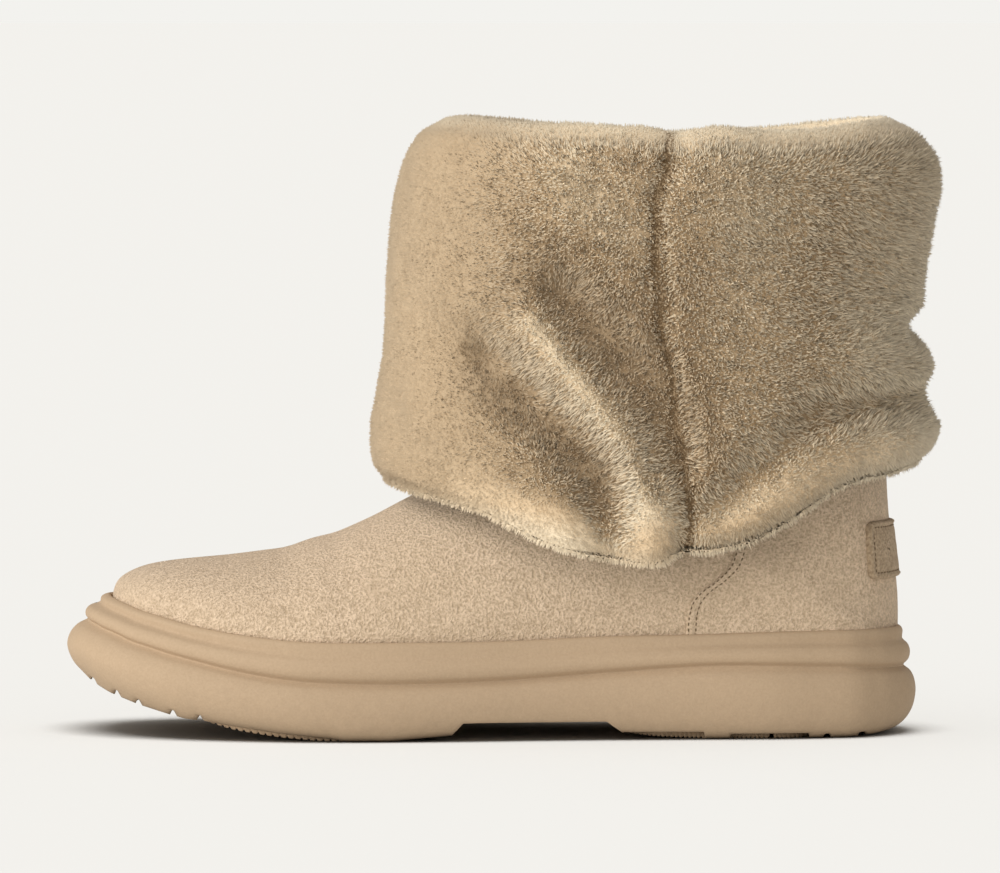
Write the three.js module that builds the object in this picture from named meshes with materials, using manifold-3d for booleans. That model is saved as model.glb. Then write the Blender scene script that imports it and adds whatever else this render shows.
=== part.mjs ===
// A left ankle boot in suede and sheepskin, with a fold-over fur cuff on a thick ridged foam sole.
// Millimetres, +X towards the toe, +Y towards the outer side of the foot, +Z up.
// The tables measure x forward from the back of the sole and z up from the floor.
import * as THREE from "three";
import Module from "manifold-3d";

const wasm = await Module();
wasm.setup();

// Driving dimensions.
const WALL = 7; // suede with the wool lining that it carries
const TUCK = 3; // how deep the upper's edge sits inside the lip of the sole
const GAP = 0.3; // clearance between pieces that are stuck or sewn together
const LIP_GAP = 0.4; // clearance between the lip and the upper that it holds
const BED_GAP = 0.5; // clearance under the upper's edge, for the glue
const INSOLE_THICK = 6;
const INSOLE_CLEAR = 1.2; // how far the insole's edge keeps from the lining
// How far the insole stops short in the toe, and its thickness there.
const INSOLE_TOE = { back: 5, thick: 3 };
const COLLAR_Z = 191; // top edge of the shaft, under the roll of the cuff
const CUFF_GAP = 1.5; // least clearance between the shaft and the cuff that hangs round it
const LABEL = { width: 43, low: 52, high: 71.5, corner: 2.5, thick: 2 };

// How finely the curved forms are divided.
const STEPS_PER_ROW = 2; // sections made between one row of the foot and the next
const LEG_SECTIONS = 8;
const HALF_POINTS = 13; // faces from the lower edge of a section to its ridge
const CUFF_TURNS = 54; // faces round the cuff
const EASE = { passes: 6, sections: 5, pull: 0.6, edge: 4 }; // how the skin is smoothed round the heel

// The height of the bed that the upper and the insole stand on.
const BED = [
  { x: 7, z: 32.4 },
  { x: 38, z: 32.5 },
  { x: 78, z: 31.6 },
  { x: 107, z: 31.0 },
  { x: 140, z: 29.7 },
  { x: 175, z: 29.5 },
  { x: 203, z: 29.7 },
  { x: 221.5, z: 31.4 },
  { x: 240, z: 34.3 },
  { x: 259, z: 38.9 },
  { x: 270.4, z: 42.8 },
];

// The foot of the last, a row for each section from the toe to the back of the heel. Each section
// leans from its seat on the bed to its ridge on the top line. mid and half are its middle and half
// width at the seat, full the widest half width, belly where that comes as a share of its height,
// crown how square its top is, and lean the y of its ridge.
const FOOT = [
  { seat: 270.4, rx: 270.4, rz: 42.8, mid: -5.0, half: 0, full: 0, belly: 0.22, crown: 2.1, lean: -5 },
  { seat: 268.9, rx: 269.2, rz: 49.2, mid: -5.0, half: 12.6, full: 12.9, belly: 0.22, crown: 2.1, lean: -5 },
  { seat: 264.4, rx: 265.2, rz: 52.9, mid: -4.8, half: 21.8, full: 22.4, belly: 0.22, crown: 2.1, lean: -5 },
  { seat: 256.0, rx: 257.0, rz: 55.9, mid: -4.2, half: 30.8, full: 31.8, belly: 0.22, crown: 2.15, lean: -5 },
  { seat: 243.5, rx: 244.5, rz: 57.7, mid: -3.0, half: 38.6, full: 39.8, belly: 0.22, crown: 2.2, lean: -5 },
  { seat: 227.0, rx: 228.5, rz: 59.2, mid: -1.4, half: 44.4, full: 45.8, belly: 0.2, crown: 2.15, lean: -5 },
  { seat: 207.0, rx: 210.0, rz: 62.3, mid: 0.2, half: 47.0, full: 48.6, belly: 0.18, crown: 2.1, lean: -5 },
  { seat: 185.0, rx: 191.5, rz: 68.3, mid: 1.6, half: 46.0, full: 47.6, belly: 0.18, crown: 2.1, lean: -4.5 },
  { seat: 161.0, rx: 175.5, rz: 75.9, mid: 2.9, half: 42.4, full: 44.4, belly: 0.2, crown: 2.1, lean: -4 },
  { seat: 135.0, rx: 163.5, rz: 83.2, mid: 3.4, half: 37.8, full: 40.6, belly: 0.24, crown: 2.15, lean: -3 },
  { seat: 107.0, rx: 156.0, rz: 91.6, mid: 2.8, half: 34.8, full: 38.2, belly: 0.3, crown: 2.2, lean: -2 },
  { seat: 77.0, rx: 152.0, rz: 100.4, mid: 1.5, half: 33.8, full: 38.0, belly: 0.38, crown: 2.25, lean: -1 },
  { seat: 48.0, rx: 150.0, rz: 109.4, mid: 0.4, half: 33.0, full: 38.6, belly: 0.46, crown: 2.3, lean: 0 },
  { seat: 24.0, rx: 149.0, rz: 117.0, mid: 0.0, half: 27.8, full: 39.4, belly: 0.48, crown: 2.3, lean: 0 },
  { seat: 15.0, rx: 148.8, rz: 122.5, mid: 0.0, half: 20.8, full: 40.0, belly: 0.49, crown: 2.3, lean: 0 },
  { seat: 9.3, rx: 148.6, rz: 127.0, mid: 0.0, half: 11.7, full: 40.6, belly: 0.5, crown: 2.3, lean: 0 },
  { seat: 7.0, rx: 148.5, rz: 131.0, mid: 0.0, half: 0, full: 41.0, belly: 0.5, crown: 2.3, lean: 0 },
];

// The leg of the last, above the heel: each section runs from the back line to the front line.
const LEG = [
  { bx: 7.0, bz: 32.4, fx: 148.5, fz: 131.0, full: 41.0 },
  { bx: 7.2, bz: 48.0, fx: 148.8, fz: 140.5, full: 41.8 },
  { bx: 9.2, bz: 63.5, fx: 149.4, fz: 149.5, full: 42.8 },
  { bx: 10.8, bz: 80.5, fx: 150.0, fz: 158.5, full: 44.0 },
  { bx: 11.2, bz: 103.0, fx: 150.4, fz: 167.5, full: 45.4 },
  { bx: 10.6, bz: 130.0, fx: 150.6, fz: 176.5, full: 46.8 },
  { bx: 9.6, bz: 161.0, fx: 150.6, fz: 184.5, full: 47.8 },
  { bx: 8.8, bz: COLLAR_Z, fx: 150.4, fz: COLLAR_Z, full: 48.4 },
];
const LEG_BELLY = 0.5;
const LEG_CROWN = 2.3;

// The underside: the tread plane, and how far the foam edge stands above it.
const TREAD = [
  { x: 0, z: 3.2, foam: 0 },
  { x: 12, z: 0.9, foam: 0 },
  { x: 24, z: 0, foam: 0 },
  { x: 70, z: 0, foam: 0 },
  { x: 84, z: 0.5, foam: 0 },
  { x: 98, z: 1.5, foam: 0 },
  { x: 126, z: 2.5, foam: 0 },
  { x: 154, z: 1.9, foam: 0 },
  { x: 165, z: 1.0, foam: 0 },
  { x: 177, z: 0, foam: 0 },
  { x: 190, z: 0, foam: 0 },
  { x: 197, z: 0, foam: 1.0 },
  { x: 213, z: 1.2, foam: 1.4 },
  { x: 227, z: 3.2, foam: 1.3 },
  { x: 238, z: 5.4, foam: 0.8 },
  { x: 246, z: 7.2, foam: 0 },
  { x: 260, z: 10.8, foam: 0 },
  { x: 270, z: 14.1, foam: 0 },
  { x: 279, z: 18.0, foam: 0 },
];

// The deep groove that runs round the side wall of the sole, by the upper's edge beside it.
const GROOVE = [
  { x: 7, z: 22.7 },
  { x: 29, z: 23.9 },
  { x: 68, z: 24.6 },
  { x: 107, z: 22.4 },
  { x: 140, z: 20.2 },
  { x: 175, z: 19.3 },
  { x: 203, z: 20.0 },
  { x: 221.5, z: 22.4 },
  { x: 240, z: 26.6 },
  { x: 256, z: 31.4 },
  { x: 270.4, z: 38.0 },
];

// The side wall's profile, from the lip down. side and toe are how far each row stands out from the
// upper's edge. Its height is a share of the way between two lines: "top" from the lip to the
// groove, "low" from the groove to the underside.
const SIDE_WALL = [
  { side: 1.6, toe: 2.2, between: "top", share: -0.03 },
  { side: 2.4, toe: 3.8, between: "top", share: 0.12 },
  { side: 2.3, toe: 4.2, between: "top", share: 0.32 },
  { side: 4.1, toe: 7.4, between: "top", share: 0.46 },
  { side: 4.9, toe: 8.9, between: "top", share: 0.66 },
  { side: 4.3, toe: 8.9, between: "top", share: 0.86 },
  { side: 2.9, toe: 8.2, between: "low", share: 0.0 },
  { side: 5.0, toe: 11.8, between: "low", share: 0.11 },
  { side: 6.5, toe: 14.4, between: "low", share: 0.27 },
  { side: 6.9, toe: 15.2, between: "low", share: 0.47 },
  { side: 6.0, toe: 13.4, between: "low", share: 0.71 },
  { side: 3.4, toe: 9.8, between: "low", share: 0.9 },
  { side: -1.5, toe: 6.4, between: "low", share: 0.985 },
  { side: -7.0, toe: 3.0, between: "low", share: 1.0 },
];
const LIP_SHARES = [0.4, 0.95]; // where the lip's inner side is measured, as shares of its height
const TOE_FROM = 214; // where the wall begins to flare towards the toe
const LIP_X = 270.4;

// The hollow under the arch, side on, and the grooves that run across the foam.
const ARCH = { back: 98.5, backTop: 104.5, frontTop: 152, front: 156, high: 6.3 };
const TOE_GROOVES = { at: [239.4, 248.5, 260.2, 267.6, 276], wide: 2.6, deep: 2.2 };
const HEEL_GROOVES = { at: [19.3, 31.0], wide: 2.8, deep: 1.6 };
const HEEL_RECESSES = [
  { back: 37, front: 63.5, high: 1.7 },
  { back: 72, front: 99, high: 3.0 },
];

// The rubber pads let into the underside.
const PADS = [
  { name: "forefoot_pad", back: 160, front: 238, inset: 5.5, thick: 3.4, groove: 166, pitch: 8.6 },
  { name: "heel_pad", back: 34, front: 97, inset: 5.5, thick: 3.4, groove: 41, pitch: 9.5 },
];
const PAD_GROOVE = { wide: 2.2, deep: 1.6 };
const PAD_STEP = 6;

// The cuff's outline at each height, as a share of the way from the hem to the top: its front and
// back, and its half widths on the outer and inner side of the leg.
const CUFF = [
  { share: 0.0, front: 174.0, back: 4.5, outer: 57.0, inner: 56.0 },
  { share: 0.045, front: 181.5, back: -5.4, outer: 62.5, inner: 61.5 },
  { share: 0.12, front: 183.2, back: -9.6, outer: 65.5, inner: 64.5 },
  { share: 0.22, front: 181.0, back: -8.9, outer: 66.0, inner: 65.0 },
  { share: 0.36, front: 179.0, back: -7.2, outer: 65.0, inner: 64.0 },
  { share: 0.52, front: 178.2, back: -4.2, outer: 64.0, inner: 63.0 },
  { share: 0.68, front: 177.0, back: -6.2, outer: 63.4, inner: 62.4 },
  { share: 0.82, front: 174.6, back: -8.8, outer: 63.4, inner: 62.4 },
  { share: 0.9, front: 171.6, back: -6.2, outer: 62.6, inner: 61.6 },
  { share: 0.96, front: 167.2, back: -0.2, outer: 59.4, inner: 58.4 },
  { share: 1.0, front: 158.5, back: 9.0, outer: 51.5, inner: 50.5 },
];
const CUFF_SQUARE = 2.25; // 2 would make its outline an ellipse
const CUFF_THICK = 16; // skin and combed wool

// Heights of the hem and of the top edge round the cuff. turn is 0 at the front of the leg, 90 on
// its outer side, 180 at the back and 270 on its inner side.
const CUFF_EDGES = [
  { turn: 0, hem: 84.5, top: 205.8 },
  { turn: 27, hem: 81.8, top: 206.0 },
  { turn: 53, hem: 75.6, top: 204.7 },
  { turn: 67, hem: 67, top: 202.9 },
  { turn: 79, hem: 61.5, top: 201.6 },
  { turn: 91, hem: 59.6, top: 200.8 },
  { turn: 101, hem: 63.8, top: 202.0 },
  { turn: 112, hem: 68.3, top: 200.6 },
  { turn: 132, hem: 83.5, top: 201.9 },
  { turn: 150, hem: 87.5, top: 204.9 },
  { turn: 180, hem: 90.5, top: 205.8 },
  { turn: 210, hem: 88, top: 205.4 },
  { turn: 230, hem: 81.5, top: 203.7 },
  { turn: 248, hem: 68, top: 201.9 },
  { turn: 260, hem: 62.5, top: 201.2 },
  { turn: 271, hem: 60, top: 200.8 },
  { turn: 283, hem: 62.5, top: 201.8 },
  { turn: 296, hem: 68, top: 202.9 },
  { turn: 310, hem: 76.5, top: 204.7 },
  { turn: 334, hem: 82, top: 206.0 },
];

// The folds that the slack cuff falls into, a row for each: a trough follows its points, each a
// turn round the leg and a height.
const FOLDS = [
  { name: "front diagonal", deep: 6, wide: 8, path: [[41, 132], [58, 113], [72, 99], [80, 82], [82, 60]] },
  { name: "beside the seam", deep: 3.5, wide: 8, path: [[74, 146], [84, 127], [92, 108], [95, 96]] },
  { name: "outer seam", deep: 2.5, wide: 3.5, path: [[92, 205], [90, 165], [92, 135], [95, 100], [96, 59]] },
  {
    name: "lower back, outer", deep: 4, wide: 7,
    path: [[98, 84], [110, 103], [126, 113], [150, 114], [180, 115]],
  },
  { name: "notch at the back", deep: 6.5, wide: 6, path: [[162, 136], [180, 135], [198, 136]] },
  { name: "lower back, inner", deep: 3.5, wide: 7, path: [[180, 115], [208, 114], [236, 111], [254, 98]] },
  {
    name: "inner seam", deep: 2.5, wide: 3.5,
    path: [[268, 205], [270, 165], [268, 135], [266, 100], [265, 59]],
  },
  {
    name: "inner diagonal", deep: 5, wide: 8,
    path: [[318, 130], [300, 112], [288, 97], [281, 80], [279, 60]],
  },
];

const COLOURS = { suede: 0xcdb08a, fur: 0xd2b995, foam: 0xc5a47d, rubber: 0xa98560, fleece: 0xd8c4a4 };

// ---- reading the tables ----

// Catmull-Rom through one column of the rows, at a place counted in rows.
function along(rows, key, at, mirrorStart = false) {
  const i = Math.min(Math.floor(at), rows.length - 2);
  const t = at - i;
  const first = rows[0][key];
  const last = rows[rows.length - 1][key];
  const value = (k) => {
    if (k < 0) return mirrorStart ? mirrorStart(key, rows) : 2 * first - rows[1][key];
    if (k >= rows.length) return 2 * last - rows[rows.length - 2][key];
    return rows[k][key];
  };
  const [a, b, c, d] = [value(i - 1), value(i), value(i + 1), value(i + 2)];
  return b + 0.5 * t * (c - a + t * (2 * a - 5 * b + 4 * c - d + t * (3 * (b - c) + d - a)));
}

// The value of one column at a value of another, by straight lines eased through the rows.
function readAt(rows, by, key, x) {
  const i = Math.max(0, rows.findLastIndex((r) => r[by] <= x));
  if (i >= rows.length - 1) return rows[rows.length - 1][key];
  const t = Math.max(0, (x - rows[i][by]) / (rows[i + 1][by] - rows[i][by]));
  return along(rows, key, i + t);
}

const bedZ = (x) => readAt(BED, "x", "z", x);
const treadZ = (x) => Math.max(0, readAt(TREAD, "x", "z", x));
const foamZ = (x) => treadZ(x) + Math.max(0, readAt(TREAD, "x", "foam", x));

// Past the toe the rows carry on as their mirror image, so that the toe closes round.
function pastToe(key, rows) {
  const flips = { half: true, full: true };
  const first = rows[0][key];
  if (flips[key]) return -rows[1][key];
  return ["seat", "rx", "mid", "lean"].includes(key) ? rows[1][key] : 2 * first - rows[1][key];
}

// ---- the last ----

// The footprint of the upper's lower edge: its half width is read as a square, so its ends are round.
const FOOTPRINT = FOOT.map((row) => ({ x: row.seat, square: row.half ** 2 })).reverse();
const footprintHalf = (x) => Math.sqrt(Math.max(0, readAt(FOOTPRINT, "x", "square", x)));

// A whole section as points from its outer lower edge, over the ridge, to its inner lower edge. It
// leans in a flat sheet from its foot to its ridge. Up to its belly it widens from the footprint to
// its full width, and from there it closes over to the ridge.
function section({ foot, ridge, mid, lean, full, belly, crown, ahead = 0 }) {
  const lower = 0.15 + 0.62 * belly;
  const half = [];
  for (let i = 0; i <= HALF_POINTS; i++) {
    const t = i / HALF_POINTS;
    const below = t < lower;
    const a = (below ? t / lower : (t - lower) / (1 - lower)) * (Math.PI / 2);
    const up = below ? belly * (1 - Math.cos(a)) : belly + (1 - belly) * Math.sin(a) ** (2 / crown);
    const x = foot.x + (ridge.x - foot.x) * up;
    const z = foot.y + (ridge.y - foot.y) * up;
    const base = footprintHalf(x - ahead);
    const widened = base + (full - base) * THREE.MathUtils.smoothstep(up, 0, belly);
    half.push({ x, z, up, out: below ? widened : full * Math.max(0, Math.cos(a)) ** (2 / crown) });
  }
  const at = ({ x, z, up, out }, side) => new THREE.Vector3(x, mid + (lean - mid) * up + side * out, z);
  return [...half.map((p) => at(p, 1)), ...half.slice(0, -1).reverse().map((p) => at(p, -1))];
}

function footSection(at) {
  const get = (key) => along(FOOT, key, at, pastToe);
  return section({
    foot: new THREE.Vector2(get("seat"), bedZ(get("seat"))),
    ridge: new THREE.Vector2(get("rx"), get("rz")),
    mid: get("mid"),
    lean: get("lean"),
    full: Math.max(footprintHalf(get("seat")), get("full")),
    belly: get("belly"),
    crown: get("crown"),
  });
}

function legSection(at) {
  const get = (key) => along(LEG, key, at);
  return section({
    foot: new THREE.Vector2(get("bx"), get("bz")),
    ridge: new THREE.Vector2(get("fx"), get("fz")),
    mid: 0,
    lean: 0,
    full: get("full"),
    belly: LEG_BELLY,
    crown: LEG_CROWN,
    ahead: get("bx") - LEG[0].bx,
  });
}

const footSteps = (FOOT.length - 1) * STEPS_PER_ROW;
const sections = [];
for (let i = 0; i < footSteps; i++) sections.push(footSection(i / STEPS_PER_ROW));
for (let i = 0; i <= LEG_SECTIONS; i++) sections.push(legSection((i / LEG_SECTIONS) * (LEG.length - 1)));
const heelAt = footSteps; // the section that closes at the back of the heel
const lastPoint = 2 * HALF_POINTS;

// Where the fan of sections turns the corner of the heel, each point is drawn towards its neighbours.
for (let pass = 0; pass < EASE.passes; pass++) {
  const was = sections.map((row) => row.map((p) => p.clone()));
  for (let k = heelAt - EASE.sections; k <= heelAt + EASE.sections; k++) {
    const fade = 1 - Math.abs(k - heelAt) / (EASE.sections + 1);
    for (let j = 1; j < lastPoint; j++) {
      const middle = new THREE.Vector3();
      const near = [was[k - 1][j], was[k + 1][j], was[k][j - 1], was[k][j + 1]];
      for (const p of near) middle.addScaledVector(p, 1 / near.length);
      const low = Math.min(1, Math.min(j, lastPoint - j) / EASE.edge);
      sections[k][j].lerp(middle, EASE.pull * fade * low);
    }
  }
}

// ---- meshes ----

// Gathers triangles, joins corners that meet and drops faces that have closed up.
class Skin {
  constructor() {
    this.points = [];
    this.faces = [];
    this.known = new Map();
  }
  corner(p) {
    const key = [p.x, p.y, p.z].map((v) => Math.round(v * 1e3)).join();
    if (!this.known.has(key)) {
      this.known.set(key, this.points.length);
      this.points.push(p);
    }
    return this.known.get(key);
  }
  face(...corners) {
    const [a, b, c] = corners.map((p) => this.corner(p));
    if (a !== b && b !== c && a !== c) this.faces.push([a, b, c]);
  }
  quad(a, b, c, d) {
    this.face(a, b, c);
    this.face(a, c, d);
  }
  // A strip of quads between two rows of points.
  strip(from, to) {
    for (let i = 0; i + 1 < from.length; i++) this.quad(from[i], from[i + 1], to[i + 1], to[i]);
  }
  geometry() {
    const g = new THREE.BufferGeometry();
    const places = this.points.flatMap((p) => p.toArray());
    g.setAttribute("position", new THREE.Float32BufferAttribute(places, 3));
    g.setIndex(this.faces.flat());
    return g;
  }
}

const closed = (ring) => [...ring, ring[0]];

function toSolid(geometry) {
  const vertProperties = new Float32Array(geometry.getAttribute("position").array);
  const triVerts = new Uint32Array(geometry.index.array);
  return new wasm.Manifold(new wasm.Mesh({ numProp: 3, vertProperties, triVerts }));
}

function fromSolid(solid) {
  const mesh = solid.getMesh();
  const g = new THREE.BufferGeometry();
  g.setAttribute("position", new THREE.BufferAttribute(new Float32Array(mesh.vertProperties), 3));
  g.setIndex(new THREE.BufferAttribute(new Uint32Array(mesh.triVerts), 1));
  return g;
}

// A three.js geometry as a solid, with the corners that meet joined.
function solidOf(geometry) {
  const skin = new Skin();
  const g = geometry.index ? geometry.toNonIndexed() : geometry;
  const at = (i) => new THREE.Vector3().fromBufferAttribute(g.getAttribute("position"), i);
  for (let i = 0; i < g.getAttribute("position").count; i += 3) skin.face(at(i), at(i + 1), at(i + 2));
  return toSolid(skin.geometry());
}

// A bar that runs right across the boot, with an outline drawn side on as [x, z] corners.
function crossBar(corners) {
  const shape = new THREE.Shape(corners.map(([x, z]) => new THREE.Vector2(x, z)));
  const across = 160;
  const bar = new THREE.ExtrudeGeometry(shape, { depth: across, bevelEnabled: false });
  return solidOf(bar.translate(0, 0, -across / 2).rotateX(Math.PI / 2));
}

// The corners of a groove let into a surface that passes through (x, z) at this slope.
function grooveCorners(x, z, slope, wide, deep) {
  const [c, s] = [Math.cos(slope), Math.sin(slope)];
  const below = 4;
  return [[-wide / 2, -below], [wide / 2, -below], [wide * 0.36, deep], [-wide * 0.36, deep]].map(
    ([u, v]) => [x + u * c - v * s, z + u * s + v * c],
  );
}

const slopeOf = (line, x) => Math.atan2(line(x + 1) - line(x - 1), 2);

// The upper's skin, for measuring to.
const skinMesh = new THREE.Mesh(
  (() => {
    const skin = new Skin();
    for (let k = 0; k + 1 < sections.length; k++) skin.strip(sections[k], sections[k + 1]);
    return skin.geometry();
  })(),
  new THREE.MeshBasicMaterial({ side: THREE.DoubleSide }),
);
skinMesh.updateMatrixWorld();

// How far the skin lies inside a point, along a level line that comes in from outside.
function skinFrom(p, away) {
  const reach = 60;
  const start = p.clone().addScaledVector(away, reach);
  const ray = new THREE.Raycaster(start, away.clone().negate(), 0, 2 * reach);
  const hit = ray.intersectObject(skinMesh)[0];
  return hit ? hit.distance - reach : Infinity;
}

// ---- the upper ----

// Every section moved out along the surface's own normal, or in for a negative distance.
function grown(distance) {
  const skin = new Skin();
  for (let k = 0; k + 1 < sections.length; k++) skin.strip(sections[k + 1], sections[k]);
  const g = skin.geometry();
  g.computeVertexNormals();
  const normal = g.getAttribute("normal");
  return sections.map((row, k) =>
    row.map((p, j) => {
      const n = new THREE.Vector3().fromBufferAttribute(normal, skin.corner(p));
      const edge = k <= heelAt && (j === 0 || j === lastPoint || k === 0);
      if (edge) n.z = 0;
      if (k === sections.length - 1) n.z = 0;
      const moved = p.clone().addScaledVector(n.normalize(), distance);
      if (Math.min(j, lastPoint - j) <= 3) moved.z = Math.max(moved.z, p.z);
      return moved;
    }),
  );
}

const lowerEdge = (rows) => {
  const outer = rows.slice(0, heelAt + 1).map((row) => row[0]);
  const inner = rows.slice(1, heelAt).map((row) => row[lastPoint]);
  return [...outer, ...inner.reverse()];
};

function upperSolid() {
  const outside = grown(0);
  const inside = grown(-WALL);
  const skin = new Skin();
  for (let k = 0; k + 1 < outside.length; k++) {
    skin.strip(outside[k + 1], outside[k]);
    skin.strip(inside[k], inside[k + 1]);
  }
  skin.strip(closed(lowerEdge(inside)), closed(lowerEdge(outside)));
  skin.strip(inside.at(-1), outside.at(-1));
  return skin.geometry();
}

// The whole form filled, grown by a distance, for cutting other pieces to its shape.
function filledForm(distance) {
  const rows = grown(distance);
  const skin = new Skin();
  for (let k = 0; k + 1 < rows.length; k++) skin.strip(rows[k + 1], rows[k]);
  const edge = lowerEdge(rows);
  const bottom = new THREE.Vector3(140, 0, bedZ(140));
  const top = new THREE.Vector3(80, 0, COLLAR_Z);
  closed(edge).slice(1).forEach((p, i) => skin.face(p, edge[i], bottom));
  rows.at(-1).slice(1).forEach((p, i) => skin.face(p, rows.at(-1)[i], top));
  return toSolid(skin.geometry());
}

// ---- the sole ----

// The upper's lower edge seen from above: each point with the direction that faces away from it.
function outline() {
  const edge = lowerEdge(sections).map((p) => new THREE.Vector2(p.x, p.y));
  return edge.map((p, i) => {
    const before = edge[(i + edge.length - 1) % edge.length];
    const after = edge[(i + 1) % edge.length];
    const away = new THREE.Vector2(after.y - before.y, before.x - after.x).normalize();
    return { p, away };
  });
}

const lipZ = (x) => bedZ(x) + TUCK;

// A point of the lip's inner side, which follows the upper's skin at a share of the lip's height.
function lipInside({ p, away }, share) {
  const at = new THREE.Vector3(p.x, p.y, bedZ(p.x) + TUCK * share);
  const level = new THREE.Vector3(away.x, away.y, 0);
  return at.addScaledVector(level, Math.max(GAP, LIP_GAP - skinFrom(at, level)));
}
const grooveZ = (x) => readAt(GROOVE, "x", "z", x);

function wallPoint({ p, away }, row) {
  const toe = THREE.MathUtils.smoothstep(p.x, TOE_FROM, LIP_X) * Math.max(0, away.x) ** 0.7;
  const out = row.side + (row.toe - row.side) * toe;
  const x = p.x + away.x * out;
  const high = row.between === "top" ? lipZ(p.x) : grooveZ(p.x);
  const low = row.between === "top" ? grooveZ(p.x) : foamZ(x);
  return new THREE.Vector3(x, p.y + away.y * out, high + (low - high) * row.share);
}

// Fills a ring by joining its two sides, from the toe to the heel. It faces up, or down if so set.
function fillRing(skin, ring, down = false) {
  const n = ring.length;
  for (let i = 0; i < n / 2; i++) {
    const [a, b] = [ring[i], ring[i + 1]];
    const [c, d] = [ring[(n - i - 1) % n], ring[(n - i) % n]];
    if (down) skin.quad(a, d, c, b);
    else skin.quad(a, b, c, d);
  }
}

function midsoleSolid() {
  const line = outline();
  const skin = new Skin();
  const bed = line.map(
    ({ p, away }) => new THREE.Vector3(p.x + away.x * GAP, p.y + away.y * GAP, bedZ(p.x) - BED_GAP),
  );
  const inside = LIP_SHARES.map((share) => line.map((at) => lipInside(at, share)));
  const rings = [bed, ...inside, ...SIDE_WALL.map((row) => line.map((at) => wallPoint(at, row)))];
  for (let k = 0; k + 1 < rings.length; k++) skin.strip(closed(rings[k + 1]), closed(rings[k]));
  fillRing(skin, bed);
  fillRing(skin, rings.at(-1), true);
  let solid = toSolid(skin.geometry());
  if (solid.volume() < 0) throw new Error("the sole is inside out");
  const { back, backTop, frontTop, front, high } = ARCH;
  const arch = [
    [back, -4], [front, -4], [front, 1.8], [frontTop, high], [backTop, high], [back, 1.8],
  ];
  const cuts = [crossBar(arch)];
  for (const { at, wide, deep } of [TOE_GROOVES, HEEL_GROOVES]) {
    for (const x of at) cuts.push(crossBar(grooveCorners(x, foamZ(x), slopeOf(foamZ, x), wide, deep)));
  }
  for (const r of HEEL_RECESSES) {
    cuts.push(crossBar([[r.back, -4], [r.front, -4], [r.front, r.high], [r.back, r.high]]));
  }
  for (const pad of PADS) cuts.push(padSlab(pad, GAP));
  for (const cut of cuts) solid = solid.subtract(cut);
  return fromSolid(solid);
}

// ---- the rubber pads ----

// The half widths of the upper's edge at a place along the foot, less a margin all round the end.
function padHalf(pad, x, side, grow) {
  const line = lowerEdge(sections);
  const rows = side > 0 ? line.slice(0, heelAt + 1) : [line[0], ...line.slice(heelAt).reverse()];
  const i = rows.findIndex((p) => p.x <= x);
  const [a, b] = [rows[i - 1], rows[i]];
  const y = Math.abs(a.y + ((x - a.x) / (b.x - a.x)) * (b.y - a.y));
  const corner = 12;
  const fromEnd = Math.max(0, Math.min(x - (pad.back - grow), pad.front + grow - x));
  const nip = fromEnd < corner ? corner - Math.sqrt(corner ** 2 - (corner - fromEnd) ** 2) : 0;
  return side * (y - pad.inset + grow - nip);
}

// A slab that follows the tread, grown all round by a clearance for the pocket that it sits in.
function padSlab(pad, grow) {
  const skin = new Skin();
  const length = pad.front - pad.back + 2 * grow;
  const steps = Math.round(length / PAD_STEP);
  const rings = [];
  for (let i = 0; i <= steps; i++) {
    const share = (1 - Math.cos((i / steps) * Math.PI)) / 2;
    const x = pad.back - grow + length * share;
    const [left, right] = [padHalf(pad, x, 1, grow), padHalf(pad, x, -1, grow)];
    const bottom = treadZ(x) - (grow > 0 ? 5 : 0);
    const top = treadZ(x) + pad.thick + grow;
    const corners = [[left, bottom], [left, top], [right, top], [right, bottom]];
    rings.push(corners.map(([y, z]) => new THREE.Vector3(x, y, z)));
  }
  for (let i = 0; i < steps; i++) skin.strip(closed(rings[i]), closed(rings[i + 1]));
  const [first, last] = [rings[0], rings[steps]];
  skin.quad(first[3], first[2], first[1], first[0]);
  skin.quad(last[0], last[1], last[2], last[3]);
  const solid = toSolid(skin.geometry());
  return solid.volume() < 0 ? toSolid(flipped(skin.geometry())) : solid;
}

function flipped(g) {
  const index = g.index.array;
  for (let i = 0; i < index.length; i += 3) [index[i + 1], index[i + 2]] = [index[i + 2], index[i + 1]];
  return g;
}

function padSolid(pad) {
  let solid = padSlab(pad, 0);
  for (let x = pad.groove; x < pad.front - PAD_GROOVE.wide; x += pad.pitch) {
    const corners = grooveCorners(x, treadZ(x), slopeOf(treadZ, x), PAD_GROOVE.wide, PAD_GROOVE.deep);
    solid = solid.subtract(crossBar(corners));
  }
  return fromSolid(solid);
}

// ---- the insole ----

function insoleSolid() {
  const line = outline();
  const ring = (inset, share) =>
    line.map(({ p, away }) => {
      const toe = THREE.MathUtils.smoothstep(p.x, TOE_FROM, LIP_X);
      const out = -(WALL + INSOLE_CLEAR + inset + INSOLE_TOE.back * toe);
      const thick = THREE.MathUtils.lerp(INSOLE_THICK, INSOLE_TOE.thick, toe);
      return new THREE.Vector3(p.x + away.x * out, p.y + away.y * out, bedZ(p.x) + thick * share);
    });
  const rings = [ring(0, 0), ring(0.5, 0.5), ring(2, 1)];
  const skin = new Skin();
  for (let k = 0; k + 1 < rings.length; k++) skin.strip(closed(rings[k]), closed(rings[k + 1]));
  fillRing(skin, rings.at(-1));
  fillRing(skin, rings[0], true);
  return skin.geometry();
}

// ---- the cuff ----

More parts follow.
